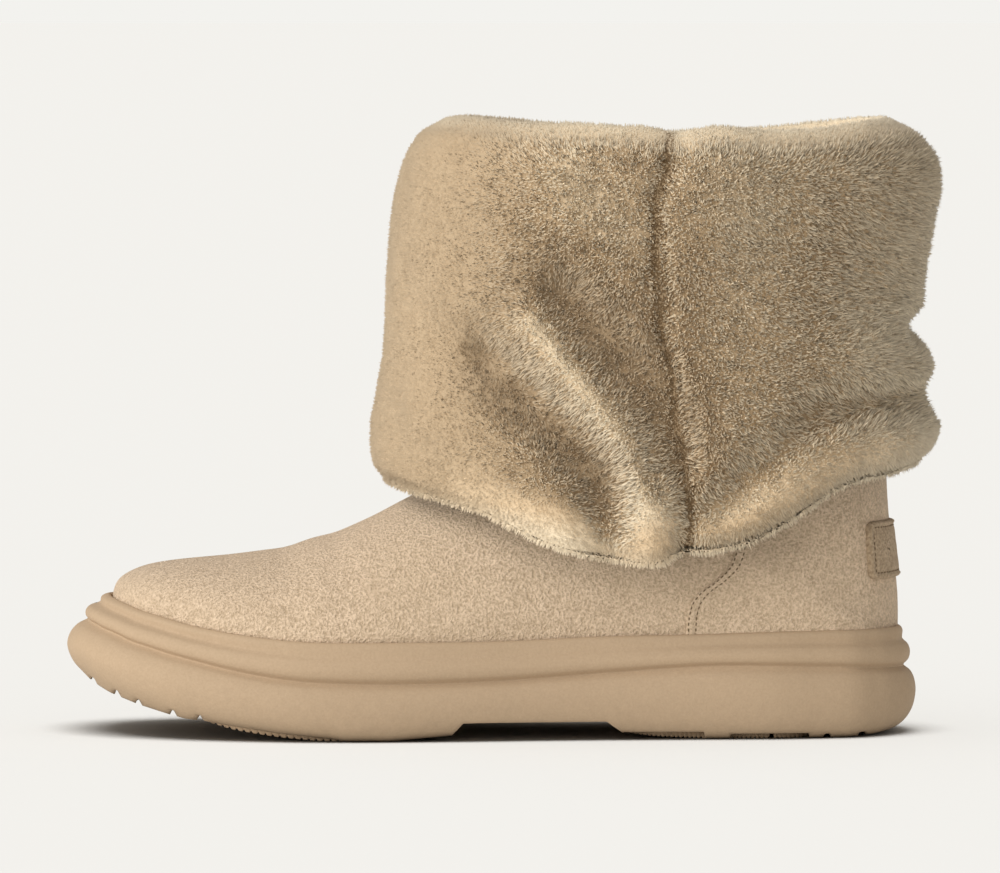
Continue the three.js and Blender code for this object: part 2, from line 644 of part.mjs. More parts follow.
// How far a point, a turn in degrees and a height, is from a path of such points, in millimetres.
function distanceTo(path, turn, z) {
  const perTurn = 1.4; // millimetres round the cuff for each degree
  const at = new THREE.Vector2(turn * perTurn, z);
  let least = Infinity;
  for (let i = 0; i + 1 < path.length; i++) {
    const a = new THREE.Vector2(path[i][0] * perTurn, path[i][1]);
    const b = new THREE.Vector2(path[i + 1][0] * perTurn, path[i + 1][1]);
    const t = THREE.MathUtils.clamp(at.clone().sub(a).dot(b.clone().sub(a)) / a.distanceToSquared(b), 0, 1);
    least = Math.min(least, at.distanceTo(a.lerp(b, t)));
  }
  return least;
}

const troughAt = (turn, z) =>
  FOLDS.reduce((sum, f) => sum + f.deep * Math.exp(-((distanceTo(f.path, turn, z) / f.wide) ** 2)), 0);

// A height on the cuff's edges, read round the leg.
function edgeAt(key, turn) {
  const rows = [...CUFF_EDGES, { ...CUFF_EDGES[0], turn: 360 }];
  return readAt(rows, "turn", key, turn);
}

// A point on the outside of the cuff, and the level way out from the leg there.
function cuffOutside(turn, share) {
  const get = (key) => readAt(CUFF, "share", key, share);
  const angle = THREE.MathUtils.degToRad(turn);
  const [front, back] = [get("front"), get("back")];
  const side = Math.sin(angle) >= 0 ? get("outer") : get("inner");
  const squared = (v) => Math.sign(v) * Math.abs(v) ** (2 / CUFF_SQUARE);
  const z = edgeAt("hem", turn) + (edgeAt("top", turn) - edgeAt("hem", turn)) * share;
  const p = new THREE.Vector3(
    (front + back) / 2 + ((front - back) / 2) * squared(Math.cos(angle)),
    side * squared(Math.sin(angle)),
    z,
  );
  const steep = new THREE.Vector2(Math.cos(angle) / (front - back), Math.sin(angle) / (2 * side));
  const away = new THREE.Vector3(steep.x, steep.y, 0).normalize();
  return { p: p.addScaledVector(away, -troughAt(turn, z) * Math.min(1, (1 - share) * 12)), away };
}

// The inside of the cuff, below a point on its outside.
function cuffInside({ p, away }, thick) {
  const toShaft = skinFrom(p, away) - CUFF_GAP;
  return p.clone().addScaledVector(away, -Math.min(thick, toShaft));
}

const CUFF_SHARES = [
  0, 0.03, 0.09, 0.17, 0.26, 0.33, 0.39, 0.45, 0.53, 0.62, 0.72, 0.82, 0.9, 0.955, 0.985,
];

function cuffSolid() {
  const turns = Array.from({ length: CUFF_TURNS }, (_, i) => (i * 360) / CUFF_TURNS);
  const loops = turns.map((turn) => {
    const outside = CUFF_SHARES.map((share) => cuffOutside(turn, share));
    const rim = cuffOutside(turn, 1);
    const low = outside
      .slice(1)
      .filter(({ p }) => p.z < COLLAR_Z - 6)
      .filter((_, i) => i % 2 === 0);
    const inside = low.map((at, i) => cuffInside(at, CUFF_THICK * Math.min(1, 0.62 + i * 0.2)));
    while (inside.length < 6) inside.push(inside.at(-1).clone().setZ(inside.at(-1).z + 4));
    const collar = rim.p.clone().setZ(COLLAR_Z);
    const toShaft = skinFrom(rim.p.clone().setZ(COLLAR_Z - 0.5), rim.away);
    const shoulder = collar.clone().addScaledVector(rim.away, -toShaft + CUFF_GAP).setZ(COLLAR_Z + 1);
    const lining = collar.clone().addScaledVector(rim.away, -toShaft - WALL).setZ(COLLAR_Z + 1);
    const bend = lining.clone().setZ(COLLAR_Z + 8);
    const over = lining.clone().addScaledVector(rim.away, 4).setZ(rim.p.z - 3);
    const crest = lining.clone().lerp(rim.p, 0.6).setZ(rim.p.z + 0.4);
    const within = [crest, over, bend, lining, shoulder, ...inside.slice(0, 6).reverse()];
    return [...outside.map(({ p }) => p), rim.p, ...within];
  });
  const skin = new Skin();
  for (let i = 0; i < loops.length; i++) {
    skin.strip(closed(loops[i]), closed(loops[(i + 1) % loops.length]));
  }
  const g = skin.geometry();
  return toSolid(g).volume() < 0 ? flipped(g) : g;
}

// ---- the label ----

// A rounded rectangle on the back of the heel, cut from the layer just outside the upper.
function labelSolid() {
  const { width, low, high, corner, thick } = LABEL;
  const shape = new THREE.Shape();
  const [w, r] = [width / 2, corner];
  shape.moveTo(-w + r, low).lineTo(w - r, low).absarc(w - r, low + r, r, -Math.PI / 2, 0, false);
  shape.lineTo(w, high - r).absarc(w - r, high - r, r, 0, Math.PI / 2, false);
  shape.lineTo(-w + r, high).absarc(-w + r, high - r, r, Math.PI / 2, Math.PI, false);
  shape.lineTo(-w, low + r).absarc(-w + r, low + r, r, Math.PI, 1.5 * Math.PI, false);
  const deep = 60;
  const block = new THREE.ExtrudeGeometry(shape, { depth: deep, bevelEnabled: false, curveSegments: 3 });
  block.rotateX(Math.PI / 2).rotateZ(Math.PI / 2).translate(-20, 0, 0);
  const layer = filledForm(GAP + thick).subtract(filledForm(GAP));
  return fromSolid(layer.intersect(solidOf(block)));
}

// ---- the boot ----

function piece(name, geometry, colour, roughness) {
  const material = new THREE.MeshStandardMaterial({ color: colour, roughness, metalness: 0 });
  const mesh = new THREE.Mesh(geometry, material);
  mesh.name = name;
  return mesh;
}

const boot = new THREE.Group();
boot.add(piece("midsole", midsoleSolid(), COLOURS.foam, 0.75));
boot.add(piece("upper", upperSolid(), COLOURS.suede, 0.95));
boot.add(piece("insole", insoleSolid(), COLOURS.fleece, 1));
boot.add(piece("cuff", cuffSolid(), COLOURS.fur, 1));
boot.add(piece("heel_label", labelSolid(), COLOURS.suede, 0.95));
for (const pad of PADS) boot.add(piece(pad.name, padSolid(pad), COLOURS.rubber, 0.7));

// The origin is the middle of the boot's footprint, on the floor.
const box = new THREE.Box3().setFromObject(boot);
const middle = box.getCenter(new THREE.Vector3());
boot.position.set(-middle.x, -middle.y, -box.min.z);

export default boot;
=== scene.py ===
"""A left ankle boot in suede and sheepskin, with a fold-over fur cuff on a thick ridged foam sole.

Lengths in the tables are millimetres: x forward from the back of the sole, y towards the outer side of
the foot, z up from the floor. Turns are degrees round the leg: 0 in front, 90 on the outer side, 180
at the back and 270 on the inner side.
"""

import math
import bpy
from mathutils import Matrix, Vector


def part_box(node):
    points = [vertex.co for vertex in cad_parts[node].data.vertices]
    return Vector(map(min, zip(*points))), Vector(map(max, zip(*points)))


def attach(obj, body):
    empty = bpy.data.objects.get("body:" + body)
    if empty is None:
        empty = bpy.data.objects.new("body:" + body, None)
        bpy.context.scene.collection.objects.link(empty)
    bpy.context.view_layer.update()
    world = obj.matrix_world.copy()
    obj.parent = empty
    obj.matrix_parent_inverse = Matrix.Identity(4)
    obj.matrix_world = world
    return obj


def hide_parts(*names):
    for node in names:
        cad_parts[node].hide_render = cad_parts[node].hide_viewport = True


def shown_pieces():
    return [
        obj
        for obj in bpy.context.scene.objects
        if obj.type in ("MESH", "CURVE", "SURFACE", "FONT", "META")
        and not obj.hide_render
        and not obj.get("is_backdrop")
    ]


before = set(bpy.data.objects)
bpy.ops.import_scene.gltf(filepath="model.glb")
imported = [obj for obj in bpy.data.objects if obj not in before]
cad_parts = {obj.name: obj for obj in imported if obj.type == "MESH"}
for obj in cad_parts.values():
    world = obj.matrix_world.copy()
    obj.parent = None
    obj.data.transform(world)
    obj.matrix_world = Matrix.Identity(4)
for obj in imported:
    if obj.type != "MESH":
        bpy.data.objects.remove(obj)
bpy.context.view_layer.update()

from types import SimpleNamespace

import bmesh
import bpy
import numpy as np
from mathutils import Vector
from mathutils.bvhtree import BVHTree

rng = np.random.default_rng(12)
MM = 0.001

# ---- sizes ----

WALL = 7.0  # suede with the wool lining that it carries
SUEDE = 2.0
COLLAR_Z = 191.0
CUFF_GAP = 1.5
TUCK = 3.0
LIP_SUNK = 0.4  # how far the lip's inner edge drops past the tuck
QUARTER_PROUD = 1.1
LABEL = {"width": 43.0, "low": 52.0, "high": 71.5, "corner": 2.6, "thick": 1.5, "border": 2.2}
STITCH = {"long": 1.25, "radius": 0.24, "pitch": 1.85, "sides": 6}
STITCH_INSETS = (0.9, 3.2)  # the quarter's two rows, in from its edge


class Table:
    """Rows of numbers under named columns, read by smooth curves through the rows."""

    def __init__(self, names, *rows):
        self.names = names.split()
        self.rows = np.array(rows, float)

    def __getitem__(self, name):
        return self.rows[:, self.names.index(name)]

    def along(self, name, at, before=None):
        """A column's value at a place counted in rows."""
        v = self[name]
        p = np.concatenate([[2 * v[0] - v[1] if before is None else before], v, [2 * v[-1] - v[-2]]])
        at = np.asarray(at, float)
        i = np.clip(np.floor(at).astype(int), 0, len(v) - 2)
        return curve(p[i], p[i + 1], p[i + 2], p[i + 3], at - i)

    def read(self, by, name, x):
        """A column's value where another column has the value x."""
        key = self[by]
        x = np.asarray(x, float)
        i = np.clip(np.searchsorted(key, x, side="right") - 1, 0, len(key) - 2)
        return self.along(name, i + np.clip((x - key[i]) / (key[i + 1] - key[i]), 0, 1))


def curve(a, b, c, d, t):
    return b + 0.5 * t * (c - a + t * (2 * a - 5 * b + 4 * c - d + t * (3 * (b - c) + d - a)))


BED = Table(
    "x z",
    (7, 32.4), (38, 32.5), (78, 31.6), (107, 31.0), (140, 29.7), (175, 29.5),
    (203, 29.7), (221.5, 31.4), (240, 34.3), (259, 38.9), (270.4, 42.8),
)

# The foot of the last, a row for each section from the toe to the back of the heel.
FOOT = Table(
    "seat rx rz mid half full belly crown lean",
    (270.4, 270.4, 42.8, -5.0, 0, 0, 0.22, 2.1, -5),
    (268.9, 269.2, 49.2, -5.0, 12.6, 12.9, 0.22, 2.1, -5),
    (264.4, 265.2, 52.9, -4.8, 21.8, 22.4, 0.22, 2.1, -5),
    (256.0, 257.0, 55.9, -4.2, 30.8, 31.8, 0.22, 2.15, -5),
    (243.5, 244.5, 57.7, -3.0, 38.6, 39.8, 0.22, 2.2, -5),
    (227.0, 228.5, 59.2, -1.4, 44.4, 45.8, 0.2, 2.15, -5),
    (207.0, 210.0, 62.3, 0.2, 47.0, 48.6, 0.18, 2.1, -5),
    (185.0, 191.5, 68.3, 1.6, 46.0, 47.6, 0.18, 2.1, -4.5),
    (161.0, 175.5, 75.9, 2.9, 42.4, 44.4, 0.2, 2.1, -4),
    (135.0, 163.5, 83.2, 3.4, 37.8, 40.6, 0.24, 2.15, -3),
    (107.0, 156.0, 91.6, 2.8, 34.8, 38.2, 0.3, 2.2, -2),
    (77.0, 152.0, 100.4, 1.5, 33.8, 38.0, 0.38, 2.25, -1),
    (48.0, 150.0, 109.4, 0.4, 33.0, 38.6, 0.46, 2.3, 0),
    (24.0, 149.0, 117.0, 0.0, 27.8, 39.4, 0.48, 2.3, 0),
    (15.0, 148.8, 122.5, 0.0, 20.8, 40.0, 0.49, 2.3, 0),
    (9.3, 148.6, 127.0, 0.0, 11.7, 40.6, 0.5, 2.3, 0),
    (7.0, 148.5, 131.0, 0.0, 0, 41.0, 0.5, 2.3, 0),
)

# The leg of the last: each section runs from the back line to the front line.
LEG = Table(
    "bx bz fx fz full",
    (7.0, 32.4, 148.5, 131.0, 41.0),
    (7.2, 48.0, 148.8, 140.5, 41.8),
    (9.2, 63.5, 149.4, 149.5, 42.8),
    (10.8, 80.5, 150.0, 158.5, 44.0),
    (11.2, 103.0, 150.4, 167.5, 45.4),
    (10.6, 130.0, 150.6, 176.5, 46.8),
    (9.6, 161.0, 150.6, 184.5, 47.8),
    (8.8, COLLAR_Z, 150.4, COLLAR_Z, 48.4),
)
LEG_BELLY, LEG_CROWN = 0.5, 2.3
STEPS_PER_ROW, LEG_STEPS, HALF_POINTS = 2, 8, 13
FINER = 3  # rows of the finished skin for each of its sections
EASE = {"passes": 6, "sections": 5, "pull": 0.6, "edge": 4}

TREAD = Table(
    "x z foam",
    (0, 3.2, 0), (12, 0.9, 0), (24, 0, 0), (70, 0, 0), (84, 0.5, 0), (98, 1.5, 0), (126, 2.5, 0),
    (154, 1.9, 0), (165, 1.0, 0), (177, 0, 0), (190, 0, 0), (197, 0, 1.0), (213, 1.2, 1.4),
    (227, 3.2, 1.3), (238, 5.4, 0.8), (246, 7.2, 0), (260, 10.8, 0), (270, 14.1, 0), (279, 18.0, 0),
)
GROOVE = Table(
    "x z",
    (7, 22.7), (29, 23.9), (68, 24.6), (107, 22.4), (140, 20.2), (175, 19.3),
    (203, 20.0), (221.5, 22.4), (240, 26.6), (256, 31.4), (270.4, 38.0),
)

# The sole's side wall from the lip down: how far out each row stands at the sides and at the toe, and
# its height as a share, in the upper part (lip to groove) or the lower (groove to the underside).
SIDE_WALL = Table(
    "side toe lower share",
    (0.3, 0.4, 0, 0.03),
    (1.0, 1.3, 0, -0.03),
    (2.0, 2.8, 0, 0.02),
    (2.5, 3.8, 0, 0.12),
    (2.3, 4.1, 0, 0.30),
    (3.0, 5.2, 0, 0.38),
    (4.3, 7.6, 0, 0.48),
    (5.0, 8.9, 0, 0.66),
    (4.5, 9.0, 0, 0.86),
    (2.9, 8.2, 1, 0.0),
    (3.3, 9.0, 1, 0.04),
    (5.2, 12.0, 1, 0.12),
    (6.5, 14.4, 1, 0.27),
    (6.9, 15.2, 1, 0.47),
    (6.0, 13.4, 1, 0.71),
    (3.9, 10.4, 1, 0.885),
    (1.2, 8.2, 1, 0.975),
    (-2.0, 6.0, 1, 1.0),
    (-5.2, 4.0, 1, 1.0),
)
# Along the sides the step between the lip and the middle ridge is softer than at the toe and the heel.
STEP = Table("x soft", (0, 0.0), (40, 0.25), (90, 0.85), (190, 0.8), (235, 0.1), (290, 0.0))
TOE_FROM, LIP_X = 214.0, 270.4

ARCH = {"back": 98.5, "backTop": 104.5, "frontTop": 152.0, "front": 156.0, "low": 1.8, "high": 6.3}
TOE_GROOVES = {"at": (239.4, 248.5, 260.2, 267.6, 276.0), "wide": 2.6, "deep": 2.2}
HEEL_GROOVES = {"at": (19.3, 31.0), "wide": 2.8, "deep": 1.6}
HEEL_RECESSES = ((37.0, 63.5, 1.9), (72.0, 99.0, 2.6))
PADS = {
    "forefoot_pad": {"back": 160.0, "front": 238.0, "rib": 2.4, "deep": 0.55, "gaps": ()},
    "heel_pad": {"back": 34.0, "front": 97.0, "rib": 1.5, "deep": 0.5, "gaps": (49.5, 67.5)},
}
EDGE_POINTS = 599  # round the upper's lower edge
CUT_GAP = 0.12
MIDDLE_OF_SOLE = (140.0, 0.0)
PAD_INSET = 2.2
PAD_THICK = 3.4
PAD_CORNER = 12.0
PAD_ACROSS = (1, 0.985, 0.94, 0.5, 0, -0.5, -0.94, -0.985, -1)  # shares of a pad's half width

CUFF = Table(
    "share front back outer inner",
    (0.0, 177.5, 1.0, 60.0, 59.0),
    (0.045, 182.5, -4.8, 63.8, 62.8),
    (0.12, 183.2, -7.8, 65.5, 64.5),
    (0.22, 181.0, -7.6, 66.0, 65.0),
    (0.36, 179.0, -6.6, 65.0, 64.0),
    (0.52, 178.2, -2.6, 64.0, 63.0),
    (0.68, 177.0, -5.4, 63.4, 62.4),
    (0.82, 174.6, -8.8, 63.4, 62.4),
    (0.9, 171.6, -6.2, 62.6, 61.6),
    (0.96, 167.2, -0.2, 59.4, 58.4),
    (1.0, 158.5, 9.0, 51.5, 50.5),
)
CUFF_SQUARE = 2.25
CUFF_THICK = 16.0
CUFF_EDGES = Table(
    "turn hem top",
    (-26, 82, 206.0), (0, 84.5, 205.8), (27, 81.8, 206.0), (53, 75.6, 204.7), (67, 67, 204.6),
    (79, 61.5, 203.8), (86, 59.6, 203.4), (91, 59.2, 201.8), (94, 62.4, 202.6), (101, 63.4, 203.6),
    (112, 68.3, 202.2), (132, 83.5, 202.9), (150, 87.5, 204.9), (180, 90.5, 205.8), (210, 88, 205.4),
    (230, 81.5, 203.7), (248, 68, 201.9), (260, 62.5, 201.2), (271, 60, 200.8), (283, 62.5, 201.8),
    (296, 68, 202.9), (310, 76.5, 204.7), (334, 82, 206.0), (360, 84.5, 205.8), (387, 81.8, 206.0),
)
TURN_MM = 1.4  # millimetres round the cuff for each degree

# The side seams of the cuff: the fur parts along them.
SEAM_WANDER = Table(
    "turn z",
    (90.4, 206), (89.6, 198), (89.2, 190), (87.4, 181), (87.1, 176), (88.2, 171), (88.4, 162), (89.0, 155),
    (90.1, 149), (90.0, 142), (90.7, 132), (91.2, 124), (91.4, 114), (91.6, 105), (93.4, 97), (93.9, 87),
    (95.4, 74), (95.2, 56),
)


OUTER_SEAM = [(turn, z) for turn, z in SEAM_WANDER.rows]
INNER_SEAM = [(358.5 - turn, z) for turn, z in SEAM_WANDER.rows]

# The folds of the slack cuff: name, depth, width, and the path of each as turns and heights.
FOLDS = (
    ("front diagonal", 6.4, 6.5, ((50, 130), (61.5, 117), (71, 104), (79, 90), (82, 76), (82.8, 58))),
    ("front diagonal, start", 1.6, 11, ((40, 134), (50, 124), (61, 113))),
    ("beside the seam", 4.4, 6.5, ((71.5, 150), (79.5, 136), (86.5, 123), (90.8, 106), (93.2, 94))),
    ("outer seam", 1.2, 3.0, OUTER_SEAM),
    ("lower back, outer", 4.0, 7.0, ((101, 80), (112, 98), (126, 111), (150, 113), (180, 114))),
    ("lower back crease", 1.8, 2.5, ((122, 109), (140, 112), (156, 112.5), (180, 113))),
    ("upper back, outer", 1.8, 13, ((112, 166), (130, 158), (150, 140))),
    ("notch at the back", 8.0, 6.0, ((162, 136), (180, 135), (198, 136))),
    ("lower back, inner", 3.8, 7.0, ((180, 114), (208, 113), (236, 110), (254, 98))),
    ("inner seam", 1.2, 3.0, INNER_SEAM),
    ("inner diagonal", 5.0, 8.0, ((318, 130), (300, 112), (288, 97), (281, 80), (279, 60))),
    ("front, soft", 1.2, 12, ((20, 146), (42, 131), (58, 109))),
    ("inner back, soft", 1.6, 12, ((250, 160), (232, 150), (214, 138))),
)
RIDGES = (
    ("between the diagonals", 2.8, 6.0, ((64, 142), (70, 130), (78, 115), (84.5, 100), (88, 85), (88.5, 64))),
    ("front of the diagonal", 1.6, 8.0, ((30, 112), (50, 97), (66, 82), (75, 66))),
    ("hem behind the seam", 1.6, 6.0, ((101, 71), (113, 80), (132, 94), (152, 99))),
)
# Where the fur has parted to its roots, with painted shade over these folds, or lies closed and smooth:
# strength, width, path.
SHADES = (
    (0.75, 6, ((42, 131), (58, 114), (70, 103), (79, 90), (82, 70))),
    (0.85, 13, ((70, 156), (76, 143), (84, 130), (90, 110), (93, 92))),
    (0.12, 16, ((100, 190), (99, 160), (100, 125), (104, 100))),
    (0.2, 14, ((122, 168), (124, 156))),
    (0.4, 5, ((118, 108), (140, 112), (180, 113))),
    (0.6, 13, ((290, 156), (284, 143), (276, 130), (270, 110), (267, 92))),
    (0.6, 11, ((318, 131), (302, 110), (290, 102), (281, 90), (278, 62))),
    (-0.45, 7, ((66, 140), (72, 128), (80, 112), (86, 97), (88.5, 82), (88.5, 62))),
    (-0.6, 26, ((0, 190), (10, 150), (14, 110), (30, 90))),
    (-0.45, 24, ((358, 190), (350, 150), (346, 110), (330, 90))),
    (-1.0, 9, ((30, 86), (50, 79), (64, 72), (77, 68))),
    (-0.3, 10, ((102, 72), (116, 82), (134, 92), (154, 96), (180, 98))),
)

# Painted light and shade on the wool, without opening it: darker in the troughs and on the low front, which
# bulges towards the key light, and paler on the hem, the ridge between the diagonals, the top and the back:
# strength, width, path.
PAINTED_LIGHT_AND_SHADE = (
    (0.3, 12, ((-30, 118), (10, 118), (28, 113))),
    (0.3, 11, ((66, 152), (74, 139), (82, 126))),
    (0.25, 5, ((56, 116), (70, 102), (79, 90), (82, 72))),
    (-0.85, 11, ((52, 77), (66, 71), (77, 67))),
    (-0.4, 7, ((84, 78), (90, 70))),
    (-0.9, 6, ((66, 140), (72, 128), (80, 112), (86, 97), (88.5, 82))),
    (-0.2, 20, ((56, 190), (62, 165), (66, 150))),
    (-0.6, 14, ((70, 190), (79, 168))),
    (-0.55, 18, ((99, 188), (106, 165), (102, 135), (102, 100))),
    (-0.3, 34, ((116, 190), (150, 170), (180, 165), (210, 170))),
    (-0.8, 28, ((145, 124), (180, 122), (215, 125))),
    (-0.4, 12, ((100, 74), (125, 88), (180, 96))),
)

# The quarter's front edge on each side of the boot, as x at each height.
QUARTER_EDGE = Table(
    "z x",
    (31, 78.4), (35.3, 78.2), (40.7, 77.9), (45.4, 76.6), (49.1, 73.6), (52.4, 69.0), (57.1, 64.4),
    (61, 62.6), (65.5, 61.6), (80, 60.5), (104, 60),
)
QUARTER_AXIS = 52.0
QUARTER_STEPS = 112  # points along each of its rows, between the ends
STITCHED_TO = 78.0  # the height up to which the quarter's edge is stitched

# Soft creases of the suede: depth, width, path as x and z on each side of the boot.
CREASES = (
    (0.5, 6.0, ((206, 34), (209, 48), (212, 62))),
    (0.35, 5.0, ((191, 33), (193, 50), (196, 68))),
    (0.9, 7.0, ((118, 62), (140, 74), (165, 88))),
    (0.5, 5.0, ((24, 58), (36, 66), (52, 72))),
    (-0.4, 8.0, ((198, 34), (201, 48), (204, 64))),
)


# ---- numbers ----


def distance_to(path, u, v, scale=1.0):
    """How far points are from a path of straight runs, all given as pairs of u and v."""
    at = np.stack([np.asarray(u, float) * scale, np.asarray(v, float)], -1)
    least = np.full(at.shape[:-1], np.inf)
    for a, b in zip(path, path[1:]):
        a = np.array([a[0] * scale, a[1]])
        step = np.array([b[0] * scale, b[1]]) - a
        t = np.clip(((at - a) @ step) / (step @ step), 0, 1)
        least = np.minimum(least, np.linalg.norm(at - a - t[..., None] * step, axis=-1))
    return least


def smoothstep(x, low, high):
    t = np.clip((np.asarray(x, float) - low) / (high - low), 0, 1)
    return t * t * (3 - 2 * t)


LATTICE = rng.random((32, 32, 32)) * 2 - 1


def noise(points, size, seed=0):
    """Smooth noise from -1 to 1 at points in millimetres, with lumps of about this size."""
    q = np.asarray(points, float) / size + seed * 7.31
    i = np.floor(q).astype(int)
    f = q - i
    f = f * f * (3 - 2 * f)
    total = 0.0
    for corner in np.ndindex(2, 2, 2):
        weight = np.prod([f[..., k] if c else 1 - f[..., k] for k, c in enumerate(corner)], axis=0)
        total = total + weight * LATTICE[tuple((i[..., k] + c) % 32 for k, c in enumerate(corner))]
    return total


def unit(v):
    return v / np.maximum(np.linalg.norm(v, axis=-1, keepdims=True), 1e-9)


def bell(offset, wide):
    """A soft bump, 1 at its middle and dying away with the offset from it."""
    return np.exp(-((offset / wide) ** 2))


def lengths_along(path):
    """How far each point of a path is from its first, along it."""
    return np.concatenate([[0], np.cumsum(np.linalg.norm(np.diff(path, axis=0), axis=1))])


def read_along(run, values, want):
    """Values that go with a path's points, read at distances along it."""
    return np.stack([np.interp(want, run, column) for column in values.T], -1)


def refine(grid, n, before=None):
    """A smooth grid through the rows of another, with n rows for each of its own."""
    first = 2 * grid[0] - grid[1] if before is None else before
    p = np.concatenate([first[None], grid, (2 * grid[-1] - grid[-2])[None]])
    t = (np.arange(n) / n).reshape((1, n) + (1,) * (grid.ndim - 1))
    a, b, c, d = (p[k : k + len(grid) - 1, None] for k in range(4))
    fine = curve(a, b, c, d, t)
    return np.concatenate([fine.reshape((-1,) + grid.shape[1:]), grid[-1:]])


def grid_normals(grid, wrap=False):
    """Unit normals of a grid of points, along its rows crossed with along its columns."""
    if wrap:
        along = np.roll(grid, -1, 0) - np.roll(grid, 1, 0)
    else:
        along = np.gradient(grid, axis=0)
    return unit(np.cross(along, np.gradient(grid, axis=1)))


# ---- the last ----

BED_Z = lambda x: BED.read("x", "z", x)
TREAD_Z = lambda x: np.maximum(0, TREAD.read("x", "z", x))
FOAM_Z = lambda x: TREAD_Z(x) + np.maximum(0, TREAD.read("x", "foam", x))
GROOVE_Z = lambda x: GROOVE.read("x", "z", x)
FOOTPRINT = Table("x square", *sorted(zip(FOOT["seat"], FOOT["half"] ** 2)))


def footprint_half(x):
    return np.sqrt(np.maximum(0, FOOTPRINT.read("x", "square", x)))


def section(foot, ridge, mid, lean, full, belly, crown, ahead=0.0):
    """A section from its outer lower edge over the ridge to its inner lower edge."""
    lower = 0.15 + 0.62 * belly
    t = np.arange(HALF_POINTS + 1) / HALF_POINTS
    below = t < lower
    a = np.where(below, t / lower, (t - lower) / (1 - lower)) * math.pi / 2
    up = np.where(below, belly * (1 - np.cos(a)), belly + (1 - belly) * np.sin(a) ** (2 / crown))
    x = foot[0] + (ridge[0] - foot[0]) * up
    z = foot[1] + (ridge[1] - foot[1]) * up
    base = footprint_half(x - ahead)
    widened = base + (full - base) * smoothstep(up, 0, belly)
    out = np.where(below, widened, full * np.maximum(0, np.cos(a)) ** (2 / crown))
    y = mid + (lean - mid) * up
    outer = np.stack([x, y + out, z], -1)
    inner = np.stack([x, y - out, z], -1)
    return np.concatenate([outer, inner[:-1][::-1]])


def foot_section(at):
    def get(key):
        first, second = FOOT[key][:2]
        before = {"rz": 2 * first - second, "half": -second, "full": -second}.get(key, second)
        return float(FOOT.along(key, at, before))

    seat = get("seat")
    full = max(float(footprint_half(seat)), get("full"))
    foot = (seat, float(BED_Z(seat)))
    return section(foot, (get("rx"), get("rz")), get("mid"), get("lean"), full, get("belly"), get("crown"))


def leg_section(at):
    get = lambda key: float(LEG.along(key, at))
    foot, ridge = (get("bx"), get("bz")), (get("fx"), get("fz"))
    return section(foot, ridge, 0, 0, get("full"), LEG_BELLY, LEG_CROWN, get("bx") - LEG["bx"][0])


def build_last():
    """The skin of the last as a fine grid of points, and the row at which it closes behind the heel."""
    foot_steps = (len(FOOT.rows) - 1) * STEPS_PER_ROW
    rows = [foot_section(i / STEPS_PER_ROW) for i in range(foot_steps)]
    rows += [leg_section(i / LEG_STEPS * (len(LEG.rows) - 1)) for i in range(LEG_STEPS + 1)]
    grid = np.array(rows)
    last = grid.shape[1] - 1
    j = np.arange(1, last)
    low = np.minimum(1, np.minimum(j, last - j) / EASE["edge"])
    for _ in range(EASE["passes"]):
        was = grid.copy()
        for k in range(foot_steps - EASE["sections"], foot_steps + EASE["sections"] + 1):
            fade = 1 - abs(k - foot_steps) / (EASE["sections"] + 1)
            middle = (was[k - 1, j] + was[k + 1, j] + was[k, j - 1] + was[k, j + 1]) / 4
            grid[k, j] += (middle - grid[k, j]) * (EASE["pull"] * fade * low)[:, None]
    fine = refine(grid, FINER, before=grid[1][::-1])
    fine = refine(fine.swapaxes(0, 1), FINER).swapaxes(0, 1)
    return fine, foot_steps * FINER


LAST, HEEL_ROW = build_last()


def last_normals():
    n = -grid_normals(LAST)
    n[0] = (1, 0, 0)
    n[:HEEL_ROW, (0, -1), 2] = 0
    n[-1, :, 2] = 0
    return unit(n)


LAST_OUT = last_normals()
if (LAST_OUT[HEEL_ROW // 2, LAST.shape[1] // 2] @ (0, 0, 1)) < 0:
    LAST_OUT = -LAST_OUT


def find_origin():
    """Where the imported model's origin lies in the tables' own coordinates."""
    low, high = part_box("upper")
    own = (LAST.reshape(-1, 3).min(0) + LAST.reshape(-1, 3).max(0)) / 2
    packed = (np.array(low) + np.array(high)) / 2 / MM
    return np.array([own[0] - packed[0], own[1] - packed[1], 0.0])


ORIGIN = find_origin()


def closing(count, deep, column):
    """Faces across a closed ring of points, one column of a grid whose rows go round the ring."""
    k = np.arange(1, count // 2 - 1)
    return np.stack([k, k + 1, count - k - 1, count - k], -1) * deep + column


def quads(rows, cols, start=0, wrap=False, flip=False):
    """Faces of a grid of vertices that were added row by row."""
    r = np.arange(rows if wrap else rows - 1)[:, None]
    c = np.arange(cols - 1)[None]
    a, b = r * cols + c, ((r + 1) % rows) * cols + c
    faces = np.stack([a, b, b + 1, a + 1], -1).reshape(-1, 4) + start
    return faces[:, ::-1] if flip else faces


BVH = BVHTree.FromPolygons(
    [Vector(p) for p in LAST.reshape(-1, 3)], quads(*LAST.shape[:2]).tolist(), all_triangles=False
)


def hit_skin(start, direction):
    """The first point of the skin that a straight line meets, with its outward normal."""
    where, normal, _, _ = BVH.ray_cast(Vector(start), Vector(direction))
    if where is None:
        return None, None
    if normal.dot(Vector(direction)) > 0:
        normal = -normal
    return np.array(where), np.array(normal)


# ---- meshes ----


